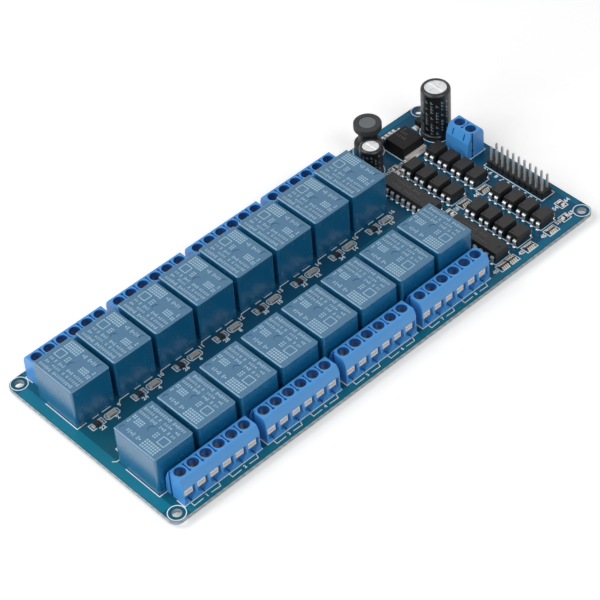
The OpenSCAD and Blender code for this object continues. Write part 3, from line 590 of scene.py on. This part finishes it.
package_ink = grained("grey_package_marking", "#525254", "#434345", 0.6, 0.5, 0.01)
package_marks = bmesh.new()
for node, rows in MARK_ROWS.items():
    low, high = corners(node)
    middle = (low + high) / 2
    reach = (high.y - low.y) * MARK_REACH
    for row, along in enumerate(rows):
        for index in range(int(2 * reach / MARK_STEP) - 2 * row):
            y = middle.y + reach - index * MARK_STEP
            add_print_shape(package_marks, row, index, middle.x + along, y, high.z, MARK_HEIGHT)
finish_piece("package_marks", package_marks, package_ink)

# %% [markdown]
# ## Silkscreen
# White ink on the solder mask outlines every component and numbers it, here with plain numbers. It
# could be drawn in the board's material, but thin sharp lines come out better as geometry.

# %% White ink lines and numbers
INK_LINE = 0.3
SILK_GAP = 0.4
NUMBER_SIZE = 2.1
NUMBER_BOLD = 0.07
# The ink also crosses the copper areas, so it is thicker than they are
SILK_THICK = 0.07
INK = dict(z=board_top, width=INK_LINE, height=SILK_THICK)

silk_ink = grained("white_silkscreen_ink", "#f4f9fb", "#e4eef2", 0.55, 0.4, 0.01)


def add_number(bm, number, x, y, size=NUMBER_SIZE, turn=0.0):
    """A number as flat geometry on the board, read from the front when turn is zero."""
    curve = bpy.data.curves.new("number", "FONT")
    curve.body = str(number)
    curve.size = size
    curve.align_x = "CENTER"
    curve.align_y = "CENTER"
    curve.resolution_u = 2
    curve.offset = NUMBER_BOLD
    curve.extrude = SILK_THICK / 2
    holder = bpy.data.objects.new("number", curve)
    bpy.context.scene.collection.objects.link(holder)
    shape = bpy.data.meshes.new_from_object(holder.evaluated_get(bpy.context.evaluated_depsgraph_get()))
    place = Matrix.Translation((x, y, board_top + SILK_THICK / 2))
    shape.transform(place @ Matrix.Rotation(turn, 4, "Z"))
    bm.from_mesh(shape)
    bpy.data.objects.remove(holder)
    bpy.data.curves.remove(curve)
    bpy.data.meshes.remove(shape)


def add_outline(bm, low, high, gap):
    """A rectangle of ink round a component."""
    add_path(bm, rectangle(low.x - gap, low.y - gap, high.x + gap, high.y + gap), **INK)


# %% Rings round the mounting holes
# The mounting holes lie this far from the short and the long edges
HOLE_INSET = (3.25, 3.0)
RING_INNER = 2.7
RING_OUTER = 3.0
RING_STEPS = 48

hole_x = board_high.x - HOLE_INSET[0]
hole_y = board_high.y - HOLE_INSET[1]
ring_top = board_top + SILK_THICK
silk = bmesh.new()
for x in (-hole_x, hole_x):
    for y in (-hole_y, hole_y):
        ring = rectangle(RING_INNER, board_top, RING_OUTER, ring_top)
        add_turned(silk, x, y, ring[::-1], RING_STEPS)
print("mounting holes at", round(hole_x, 2), "and", round(hole_y, 2), "mm from the middle")

# %% Corner marks, dashes and numbers of the relays
# All are measured from a relay's corner
RELAY_TICK = 0.9
CORNER_MARK = 3.6
CORNER_SIDE = 4.0
RELAY_DASHES = [(6.2, 8.4), (10.0, 13.2)]
RELAY_NUMBER = (15.6, 1.5)


def relay_silk(bm, cover, inner, number, tick):
    """A corner mark and dashes along the inner edge of a relay. Between two relays it has a short tick."""
    low, high = cover
    y = high.y + SILK_GAP if inner > 0 else low.y - SILK_GAP
    x = low.x - SILK_GAP
    corner = [(x - RELAY_TICK, y + inner * RELAY_TICK), (x, y), (x + CORNER_MARK, y)]
    add_path(bm, corner if tick else corner[1:], **INK)
    for start, end in RELAY_DASHES:
        add_bar(bm, (x + start, y), (x + end, y), **INK)
    add_number(bm, number, x + RELAY_NUMBER[0], y + inner * RELAY_NUMBER[1])


for index, cover in enumerate(relays_front):
    relay_silk(silk, cover, 1, index + 1, True)
for index, cover in enumerate(relays_rear):
    relay_silk(silk, cover, -1, index + 9, index > 0)
for low, high in (relays_front[0], relays_rear[0]):
    x, y = low.x - SILK_GAP, low.y - SILK_GAP
    add_path(silk, [(x, high.y - CORNER_SIDE), (x, y), (x + CORNER_MARK, y)], **INK)
print("relays marked:", len(relays_front) + len(relays_rear))

# %% Foot lines and brackets of the terminal blocks
# The foot line: gap in front of the block, gap beside it, and reach of its arms
FOOT_LINE = (0.2, 0.3, 3.2)
BRACKET_START = 2.0
BRACKET_PITCH = 15.24
BRACKET_DEPTH = 1.65
BRACKET_RIM = 0.9
BRACKET_BEND = 0.15
# Along a bracket: end of its left half, number, then start, shoulder and foot of its right half
BRACKET_STEPS = (3.6, 5.3, 7.0, 10.4, 11.0)
BRACKET_NUMBER = 1.7


def block_silk(bm, block, out, first_number):
    """The foot line of a terminal block and a bracket with a number for each three poles."""
    low, high = block
    before, beside, arm = FOOT_LINE
    foot = low.y if out < 0 else high.y
    y = foot + out * before
    x0, x1, end = low.x - beside, high.x + beside, foot - out * arm
    add_path(bm, [(x0, end), (x0, y), (x1, y), (x1, end)], **INK)
    rim = y + out * min(BRACKET_DEPTH, board_high.y - abs(y) - BRACKET_RIM)
    bent = rim - out * BRACKET_BEND
    for group in (0, 1):
        x = low.x + BRACKET_START + group * BRACKET_PITCH
        left_end, label, start, shoulder, last = [x + step for step in BRACKET_STEPS]
        add_path(bm, [(x, y), (x, rim), (left_end, bent)], **INK)
        add_path(bm, [(start, bent), (shoulder, rim), (last, y)], **INK)
        add_number(bm, first_number + group, label, rim - out * 2 * BRACKET_BEND, BRACKET_NUMBER)


for index, block in enumerate(blocks_front):
    block_silk(silk, block, -1, 2 * index + 1)
for index, block in enumerate(blocks_rear):
    block_silk(silk, block, 1, 2 * index + 9)
print("terminal blocks marked:", len(blocks_front) + len(blocks_rear))

# %% Outlines and numbers of the strip chips
STRIP_HALF_L = 2.55
STRIP_HALF_W = 1.3
STRIP_ARM = 1.3
STRIP_CUT = 0.6


def strip_number(bm, number, middle):
    """A number on the side of a strip chip that looks away from its relay."""
    inward = 1 if middle.y < 0 else -1
    add_number(bm, number, middle.x + 0.4, middle.y + inward * 2.4)


for number, (low, high) in enumerate(parts_of("channel_resistors"), start=21):
    middle = (low + high) / 2
    y0, y1 = middle.y - STRIP_HALF_W, middle.y + STRIP_HALF_W
    for side in (-1, 1):
        end = middle.x + side * STRIP_HALF_L
        arm = end - side * STRIP_ARM
        add_path(silk, [(arm, y1), (end, y1), (end, y0), (arm, y0)], **INK)
    strip_number(silk, number, middle)
for number, (low, high) in enumerate(parts_of("channel_lamps"), start=1):
    middle = (low + high) / 2
    x0, x1, y0, y1 = (middle.x - STRIP_HALF_L, middle.x + STRIP_HALF_L,
                      middle.y - STRIP_HALF_W, middle.y + STRIP_HALF_W)
    add_path(silk, [(x0 + STRIP_CUT, y0), (x1 - STRIP_CUT, y0), (x1, y0 + STRIP_CUT), (x1, y1 - STRIP_CUT),
                    (x1 - STRIP_CUT, y1), (x0 + STRIP_CUT, y1), (x0, y1 - STRIP_CUT), (x0, y0 + STRIP_CUT),
                    (x0 + STRIP_CUT, y0)], **INK)
    strip_number(silk, number, middle)
finish_piece("silkscreen_channels", silk, silk_ink)

# %% [markdown]
# ## Silkscreen of the control end
# The chips, the header and the supply parts have outlines too. A circle could be a turned ring, but one
# would run off the board, so circles are paths of short bars that are left open there.

# %% Outlines and numbers of the chips and the header
HEADER_PITCH = 2.54
HEADER_GAP = 0.5
PACKAGE_GAP = 0.3
CHIP_GAP = 0.8
HEADER_NUMBER = 1.7
CHIP_NUMBER = 2.2

control_silk = bmesh.new()
header_low, header_high = corners("control_header_body")
add_outline(control_silk, header_low, header_high, HEADER_GAP)
for index in range(10):
    y = header_low.y + (index + 0.5) * HEADER_PITCH
    add_number(control_silk, index + 1, header_low.x - HEADER_NUMBER, y, turn=math.pi / 2)
for node in optocouplers + driver_chips:
    add_outline(control_silk, *corners(node), PACKAGE_GAP)
for number, (low, high) in enumerate(parts_of("resistor_arrays"), start=40):
    add_outline(control_silk, low, high, CHIP_GAP)
    add_number(control_silk, number, low.x - CHIP_NUMBER, (low.y + high.y) / 2)
for number, (low, high) in enumerate(parts_of("small_chips"), start=50):
    add_outline(control_silk, low, high, CHIP_GAP)
    add_number(control_silk, number, low.x - CHIP_NUMBER, (low.y + high.y) / 2)
    add_number(control_silk, number + 10, high.x + CHIP_NUMBER, (low.y + high.y) / 2)
print("small chips outlined:", len(parts_of("small_chips")))

# %% Outlines of the supply parts
# The regulator's line: gap beside the body, gap in front of it, and width
REGULATOR_LINE = (0.5, 1.9, 0.35)
CIRCLE_GAP = 0.5
CIRCLE_RIM = 0.4
CIRCLE_BARS = 36

low, high = corners("regulator_body")
beside, before, line = REGULATOR_LINE
x0, x1, y = low.x - beside, high.x + beside, low.y - before
add_path(control_silk, [(x0, high.y), (x0, y), (x1, y)], board_top, line, SILK_THICK)
add_number(control_silk, 70, low.x - 2.4, low.y - 1.2)
low, high = corners("input_diode")
add_number(control_silk, 71, low.x - 3.0, high.y + 0.4)
for node in ("large_capacitor_sleeve", "small_capacitor_sleeve", "coil_core"):
    low, high = corners(node)
    middle = (low + high) / 2
    radius = (high.x - low.x) / 2 + CIRCLE_GAP
    gap = math.acos(min(board_high.y - CIRCLE_RIM - middle.y, radius) / radius)
    turn = math.tau - 2 * gap
    angles = [math.pi / 2 + gap + step / CIRCLE_BARS * turn for step in range(CIRCLE_BARS + 1)]
    circle = [(middle.x + radius * math.cos(angle), middle.y + radius * math.sin(angle)) for angle in angles]
    add_path(control_silk, circle, **INK)
add_outline(control_silk, *corners("power_terminal_housing"), PACKAGE_GAP)
finish_piece("silkscreen_control", control_silk, silk_ink)

# %% [markdown]
# ## Solder
# Every lead is soldered from below, where the solder climbs it as a small cone. On the upper side a
# little shows round the leads of the chips. Cones could be stretched round every lead, but a joint is
# hollow on its flank, so a short profile is spun round the lead.

# %% Solder joints on both sides
SOLDER_STEPS = 10
CHIP_LEADS = ["driver_chip_leads", "optocoupler_leads"]
# Joints below the board: nodes of the leads, radius of the pad, and height of the cone
SOLDER_BELOW = {
    "solder_relays": (["relay_pins_front", "relay_pins_rear"], 1.5, 1.1),
    "solder_terminals": (["terminal_clamps_front", "terminal_clamps_rear", "power_terminal_clamps"],
                         1.7, 1.5),
    "solder_header": (["control_header_pins"], 0.85, 1.0),
    "solder_chips": (CHIP_LEADS, 0.85, 0.9),
    "solder_radial_parts": (["radial_leads"], 1.1, 1.1),
}

solder = metal("bright_solder", "#eef0f1", "#cdd1d3", 0.26, 0.7, 0.02, bare=0.5)


def cone_below(size, pad, reach):
    """Profile of a cone under the board round a lead of this size."""
    lead = max(size.x, size.y) / 2 + 0.05
    return [(0, board_bottom), (pad, board_bottom), (pad * 0.96, board_bottom - 0.06),
            ((pad + lead) / 2, board_bottom - 0.3 * reach), (lead, board_bottom - 0.85 * reach),
            (0, board_bottom - reach)]


def ring_above(size, pad, reach):
    """Profile of a low ring on the board round a lead of this size."""
    lead = min(size.x, size.y) / 2
    return [(0, board_top), (pad, board_top), (pad * 0.9, board_top + 0.35 * reach),
            (pad * 0.6, board_top + 0.75 * reach), (lead, board_top + reach), (0, board_top + reach)]


def solder_joints(name, nodes, profile, pad, reach):
    """A joint with this profile round every lead of these nodes."""
    bm = bmesh.new()
    for node in nodes:
        for place, size in tips_of(node):
            add_turned(bm, place.x, place.y, profile(size, pad, reach), SOLDER_STEPS)
    finish_piece(name, bm, solder, smooth=True)


for name, (nodes, pad, reach) in SOLDER_BELOW.items():
    solder_joints(name, nodes, cone_below, pad, reach)
solder_joints("solder_chips_above", CHIP_LEADS, ring_above, 0.68, 0.35)

# %% [markdown]
# ## Surface-mounted pads
# Small chips, the regulator and the diode are soldered to flat pads on the upper side. Each end of a
# chip is plated and sits in a low wedge of solder. A rounded fillet would show no better, so a wedge is
# a four-sided cone cut off at the top.

# %% Plated ends and wedges of the chips
PLATE = 0.02
# The wedge at a chip's end: shift outwards, longer and wider by, height, and share at the top
END_WEDGE = (0.05, 0.3, 0.1, 0.4, 0.55)


def add_wedge(bm, x, y, length, width, height, top):
    """A four-sided cone on the board, cut off at the given share of its foot."""
    place = Matrix.Translation((x, y, board_top + height / 2)) @ Matrix.Diagonal((length, width, 1, 1))
    # A cone with four sides and this radius has a foot one unit wide
    foot = math.sqrt(0.5)
    bmesh.ops.create_cone(bm, cap_ends=True, segments=4, radius1=foot, radius2=foot * top, depth=height,
                          matrix=place @ Matrix.Rotation(math.pi / 4, 4, "Z"))


def plated_ends(name, node, end, plating):
    """Plating over both ends of each chip, with a wedge of solder outside it."""
    shift, longer, wider, height, top = END_WEDGE
    bm = bmesh.new()
    for low, high in parts_of(node):
        size = high - low
        middle = (low + high) / 2
        tall = size.z + PLATE
        for side in (-1, 1):
            if size.x > size.y:
                x = middle.x + side * (size.x - end) / 2
                add_block(bm, x, middle.y, board_top, end + 2 * PLATE, size.y + 2 * PLATE, tall)
                x = middle.x + side * (size.x / 2 + shift)
                add_wedge(bm, x, middle.y, end + longer, size.y + wider, height, top)
            else:
                y = middle.y + side * (size.y - end) / 2
                add_block(bm, middle.x, y, board_top, size.x + 2 * PLATE, end + 2 * PLATE, tall)
                y = middle.y + side * (size.y / 2 + shift)
                add_wedge(bm, middle.x, y, size.x + wider, end + longer, height, top)
    finish_piece(name, bm, plating)


plated_ends("lamp_ends", "channel_lamps", 0.45, tin)
plated_ends("resistor_ends", "channel_resistors", 0.45, tin)
# Chip ends, array ends and pads use the solder with painted light
plated_ends("small_chip_ends", "small_chips", 0.55, lit_solder_painted_light)

# %% Ends of the resistor arrays
ARRAY_PITCH = 0.8
ARRAY_END = 0.5
ARRAY_INSET = 0.2
# Its wedges: shift outwards, length, width, height, and share at the top
ARRAY_WEDGE = (0.3, 0.55, 0.9, 0.35, 0.6)

array_ends = bmesh.new()
for low, high in parts_of("resistor_arrays"):
    middle = (low + high) / 2
    tall = high.z - board_top + PLATE
    for index in range(4):
        x = middle.x + (index - 1.5) * ARRAY_PITCH
        for side, y in ((-1, low.y), (1, high.y)):
            add_block(array_ends, x, y - side * ARRAY_INSET, board_top, ARRAY_END, ARRAY_END, tall)
            add_wedge(array_ends, x, y + side * ARRAY_WEDGE[0], *ARRAY_WEDGE[1:])
finish_piece("array_ends", array_ends, lit_solder_painted_light)

# %% Pads of the regulator and the diode
# Wider parts of the lead frame are the tab
TAB_WIDTH = 5

pads = bmesh.new()
for low, high in parts_of("regulator_leadframe"):
    size = high - low
    middle = (low + high) / 2
    if size.x > TAB_WIDTH:
        add_wedge(pads, middle.x, low.y + 0.5, size.x + 0.8, 2.4, 0.3, 0.93)
    else:
        add_wedge(pads, middle.x, high.y - 0.95, size.x + 0.3, 2.5, 0.3, 0.8)
low, high = corners("input_diode")
middle = (low + high) / 2
for x in (low.x, high.x):
    add_wedge(pads, x, middle.y, 1.9, 2.4, 0.55, 0.6)
finish_piece("surface_pads", pads, lit_solder_painted_light)

# %% [markdown]
# ## Copper tracks below
# Copper lies under the mask and shows as slightly raised, lighter lines. They could be bumped onto the
# board, but raised bars cost little and catch the light. Broad tracks take each relay's three contacts
# to its three terminals, and fine ones run from the coils to the control end.

# %% Mask over copper, and one track
TRACK_THICK = 0.04
POWER_TRACK = 2.6
SIGNAL_TRACK = 0.4


def copper_mask_finish():
    """Mask over copper is lighter than over bare laminate."""
    material = empty_material("solder_mask_over_copper")
    place = add_node(material, "ShaderNodeTexCoord").outputs["Object"]
    colour = mask_colour(material, place, ("#14728a", "#126283", 30, 80), ("#1a7b94", "#176c8f", 30, 80))
    return surface(material, Base_Color=colour, Roughness=MASK_ROUGHNESS, Normal=mask_ripple(material, place),
                   Specular_IOR_Level=MASK_SPECULAR)


def add_track(bm, points, width, below, layer=0):
    """A track above or below. Tracks that cross lie on layers a few thousandths apart."""
    thick = TRACK_THICK * (1 + 2 * LAP * layer)
    add_path(bm, points, board_bottom if below else board_top, width, -thick if below else thick)


track_mask = copper_mask_finish()
print("copper is", TRACK_THICK, "mm thick")

# %% Tracks under the relays
# From a relay's middle, contacts lie further out than this, and the coil's pins about here
CONTACT_REACH = 6
COIL_REACH = 5.1
COIL_PLAY = 0.3
FIRST_LANE = 1.2
LANE_STEP = 0.8
LANE_END = 50.0


def contact_tracks(bm, covers, pins, terminals):
    """Tracks from the contacts of each relay to its three terminal pins."""
    for index, (low, high) in enumerate(covers):
        middle = (low + high) / 2
        mine = [place for place, size in pins if low.x < place.x < high.x]
        poles = [place for place, size in terminals[3 * index:3 * index + 3]]
        out = math.copysign(1, poles[0].y - middle.y)
        contacts = sorted((p for p in mine if (p.y - middle.y) * out > CONTACT_REACH), key=lambda p: p.x)
        common = max((p for p in mine if (p.y - middle.y) * out < 0), key=lambda p: -abs(p.x - middle.x))
        pairs = [(contacts[0], poles[0]), (contacts[1], poles[2]), (common, poles[1])]
        for layer, (place, pole) in enumerate(pairs):
            bend = pole.y - out * (abs(pole.x - place.x) + 1.2)
            add_track(bm, [(place.x, place.y), (place.x, bend), (pole.x, pole.y)], POWER_TRACK, True, layer)


def coil_tracks(bm, covers, pins, out):
    """A bus of fine tracks along the inner side of a bank to the control end."""
    for index, (low, high) in enumerate(covers):
        middle = (low + high) / 2
        mine = [place for place, size in pins if low.x < place.x < high.x]
        coil = [p for p in mine if abs(abs(p.y - middle.y) - COIL_REACH) < COIL_PLAY]
        start = max(coil, key=lambda p: p.x)
        lane = (high.y if out > 0 else low.y) + out * (FIRST_LANE + LANE_STEP * index)
        add_track(bm, [(start.x, start.y), (start.x, lane), (LANE_END, lane)], SIGNAL_TRACK, True, 3)


tracks = bmesh.new()
pins_front, pins_rear = tips_of("relay_pins_front"), tips_of("relay_pins_rear")
contact_tracks(tracks, relays_front, pins_front, tips_of("terminal_clamps_front"))
contact_tracks(tracks, relays_rear, pins_rear, tips_of("terminal_clamps_rear"))
coil_tracks(tracks, relays_front, pins_front, 1)
coil_tracks(tracks, relays_rear, pins_rear, -1)
finish_piece("copper_tracks_below", tracks, track_mask)

# %% [markdown]
# ## Copper above
# Broad copper areas run round the left end and along the terminals. A second colour in the board's
# material could show them, but their faint step catches the light, so they are thin plates.

# %% Copper areas and tracks on the upper side
POUR_EDGE = 0.25
HOLE_CLEAR = 3.1
DRIVER_LANE = -1.2
DRIVER_RUN = 40
DRIVER_STEP = 4
OPTO_FIRST = 2.4
OPTO_PITCH = 6.2

left, right = board_low.x + POUR_EDGE, board_high.x - POUR_EDGE
front, rear = board_low.y + POUR_EDGE, board_high.y - POUR_EDGE
past_hole_x, past_hole_y = hole_x - HOLE_CLEAR, hole_y - HOLE_CLEAR
copper_areas = [(left, -past_hole_y, relays_front[0][0].x - 0.2, past_hole_y),
                (-past_hole_x, front, past_hole_x, blocks_front[0][0].y - 0.1),
                (-past_hole_x, blocks_rear[0][1].y + 0.1, past_hole_x, rear),
                (header_high.x + 0.8, -past_hole_y, right, past_hole_y)]
pours = bmesh.new()
for x0, y0, x1, y1 in copper_areas:
    add_block(pours, (x0 + x1) / 2, (y0 + y1) / 2, board_top, x1 - x0, y1 - y0, TRACK_THICK)
driver_left = corners("driver_chip_1")[0].x
for index in range(6):
    y = DRIVER_LANE + index * LANE_STEP
    start = relays_front[-1][1].x - DRIVER_RUN + index * DRIVER_STEP
    add_track(pours, [(start, y), (driver_left - 1.5 - index * 0.4, y), (driver_left - 0.8, y - 0.7)],
              SIGNAL_TRACK, False)
for node in optocouplers:
    high = corners(node)[1]
    for index in range(4):
        y = high.y - OPTO_FIRST - index * OPTO_PITCH
        add_track(pours, [(high.x + 1.2, y), (high.x + 2.2, y - 0.9), (high.x + 2.2, y - 3.4)],
                  SIGNAL_TRACK, False)
finish_piece("copper_areas_above", pours, track_mask)

# %% [markdown]
# ## Marks on the capacitor sleeves, and the top of the coil
# The sleeve of a capacitor carries a pale stripe on its minus side and columns of small print. Each
# could be a curved band, but they are so narrow that flat plates that touch the wall look the same.
# The dish on the coil's drum has a ground floor, lighter than the sintered skin. It is a turned disc,
# because the drum is one solid with one finish.

# %% Sleeve print
SLEEVE_PROUD = 0.03
# Shares of a sleeve's height that stay bare at its foot and its top
SLEEVE_BARE = (0.16, 0.12)
# Widths are shares of the radius
PRINT_FROM = math.radians(268)
COLUMN_STEP = 0.36
MARK_WIDTH = 0.07
FOOT_TURN = 0.09
FOOT_WIDTH = 0.1
STRIPE_PLATES = 4
STRIPE_STEP = 0.15


def add_plate(bm, middle, radius, angle, width, low, high):
    """A thin upright plate that touches a round wall at one angle. Its width is a share of the radius."""
    place = (Matrix.Translation((middle.x, middle.y, (low + high) / 2)) @ Matrix.Rotation(angle, 4, "Z")
             @ Matrix.Translation((radius, 0, 0)))
    shape = Matrix.Diagonal((2 * SLEEVE_PROUD, radius * width, high - low, 1))
    bmesh.ops.create_cube(bm, size=1, matrix=place @ shape)


def sleeve_marks(name, node, columns, rows):
    """Columns of small marks on one side of a sleeve and a pale stripe on the other."""
    low, high = corners(node)
    middle = (low + high) / 2
    radius = (high.x - low.x) / 2
    bottom = low.z + SLEEVE_BARE[0] * (high.z - low.z)
    top = high.z - SLEEVE_BARE[1] * (high.z - low.z)
    step = (top - bottom) / rows
    bm = bmesh.new()
    for plate in range(STRIPE_PLATES):
        angle = PRINT_FROM + math.pi + plate * STRIPE_STEP
        add_plate(bm, middle, radius, angle, STRIPE_STEP, bottom, top)
    for column in range(columns):
        angle = PRINT_FROM - column * COLUMN_STEP
        for row in range(rows):
            if (row * 3 + column * 5) % 7 < 5:
                foot = bottom + row * step
                tall = step * (0.72 if (row + column) % 3 else 0.4)
                add_plate(bm, middle, radius, angle, MARK_WIDTH, foot, foot + tall)
                add_plate(bm, middle, radius, angle + FOOT_TURN, FOOT_WIDTH, foot, foot + tall * 0.3)
    finish_piece(name, bm, sleeve_ink)


sleeve_ink = grained("grey_sleeve_print", "#8d979c", "#7b868c", 0.4, 0.5, 0.01)
sleeve_marks("large_sleeve_print", "large_capacitor_sleeve", 7, 11)
sleeve_marks("small_sleeve_print", "small_capacitor_sleeve", 5, 6)

# %% Ground disc in the dish
# Profile of the disc: radius, and depth below the rim of the drum
DISC = [(0, 0.3), (2.9, 0.3), (2.9, 0.1), (2.7, 0.04), (0, 0.04)]

ferrite_worn = grained("ground_ferrite_face", "#5b6063", "#6c7174", 0.5, 0.6, 0.03)
coil_low, coil_high = corners("coil_core")
coil_middle = (coil_low + coil_high) / 2
disc = bmesh.new()
add_turned(disc, coil_middle.x, coil_middle.y, [(radius, coil_high.z - depth) for radius, depth in DISC], 48)
finish_piece("coil_top_disc", disc, ferrite_worn)

# %% [markdown]
# ## Floor, lamps and world
# The board stands on a pale floor. A soft lamp from the left and behind lights the tops. A low one from
# the left and a higher one from the front reach the sides and leave the strip between the banks dark. A
# bright world could do it alone but would lose the shadows. A lamp's level is its share of the light on
# a face turned to it, and with the fill they come to about one on a face that looks up, so that a colour
# renders as it is written. Only rays from the camera and mirror-like rays see a white floor and world.

# %% Levels, and the rays that see a white surrounding
FLOOR_SIZE = 6.0
FLOOR_COLOUR = "#f0f0f0"
FLOOR_LIFT = 0.38
FILL_LEVEL = 0.11
# Name, direction as azimuth and elevation in degrees, distance and width in metres, and level
LAMPS = [("key_lamp", 135, 50, 1.0, 0.8, 0.57), ("low_left_lamp", 180, 20, 1.1, 0.7, 0.34),
         ("front_lamp", 270, 42, 1.1, 0.7, 0.38)]


def mirror_or_camera(material):
    """One for rays from the camera and for mirror-like rays, else zero."""
    rays = add_node(material, "ShaderNodeLightPath").outputs
    seen = rays["Is Camera Ray"]
    for kind in ("Is Glossy Ray", "Is Transmission Ray"):
        seen = add_node(material, "ShaderNodeMath", {0: seen, 1: rays[kind]}, operation="MAXIMUM").outputs[0]
    return seen


# %% A pale floor that keeps the shadow
def floor_finish():
    """A diffuse floor with a little white added, which lightens the shadow but keeps it."""
    material = empty_material("pale_studio_floor")
    diffuse = add_node(material, "ShaderNodeBsdfDiffuse", {"Color": linear(FLOOR_COLOUR)})
    seen = add_node(material, "ShaderNodeMath", {0: mirror_or_camera(material), 1: FLOOR_LIFT},
                    operation="MULTIPLY")
    lift = add_node(material, "ShaderNodeEmission", {"Color": linear("#ffffff"), "Strength": seen.outputs[0]})
    both = add_node(material, "ShaderNodeAddShader", {0: diffuse.outputs[0], 1: lift.outputs[0]})
    add_node(material, "ShaderNodeOutputMaterial", {"Surface": both.outputs[0]})
    return material


floor_mesh = bpy.data.meshes.new("floor")
floor_bm = bmesh.new()
bmesh.ops.create_grid(floor_bm, x_segments=1, y_segments=1, size=FLOOR_SIZE / 2,
                      matrix=Matrix.Translation((0, 0, drawing_box[0][2])))
floor_bm.to_mesh(floor_mesh)
floor_bm.free()
floor_mesh.materials.append(floor_finish())
floor = bpy.data.objects.new("floor", floor_mesh)
bpy.context.scene.collection.objects.link(floor)
print("floor at height", round(drawing_box[0][2] / MM, 2), "mm")

# %% World and lamps
world = bpy.data.worlds.new("studio")
bpy.context.scene.world = world
world.use_nodes = True
world.node_tree.nodes.clear()
world_level = add_node(world, "ShaderNodeMapRange",
                       {"Value": mirror_or_camera(world), "To Min": FILL_LEVEL, "To Max": 1.0})
background = add_node(world, "ShaderNodeBackground",
                      {"Color": linear("#ffffff"), "Strength": world_level.outputs["Result"]})
add_node(world, "ShaderNodeOutputWorld", {"Surface": background.outputs[0]})

for name, azimuth, elevation, distance, width, level in LAMPS:
    turn, rise = math.radians(azimuth), math.radians(elevation)
    way = Vector((math.cos(turn) * math.cos(rise), math.sin(turn) * math.cos(rise), math.sin(rise)))
    lamp_data = bpy.data.lights.new(name, "AREA")
    lamp_data.shape = "DISK"
    lamp_data.size = width
    # A disk that sends out P watts gives a face turned to it P / (pi * distance)^2 of a white level
    lamp_data.energy = level * (math.pi * distance) ** 2
    lamp = bpy.data.objects.new(name, lamp_data)
    bpy.context.scene.collection.objects.link(lamp)
    lamp.matrix_world = Matrix.Translation(way * distance) @ way.to_track_quat("Z", "Y").to_matrix().to_4x4()
    print(name, "power", round(lamp_data.energy, 2))
bpy.context.scene.view_settings.view_transform = "Standard"
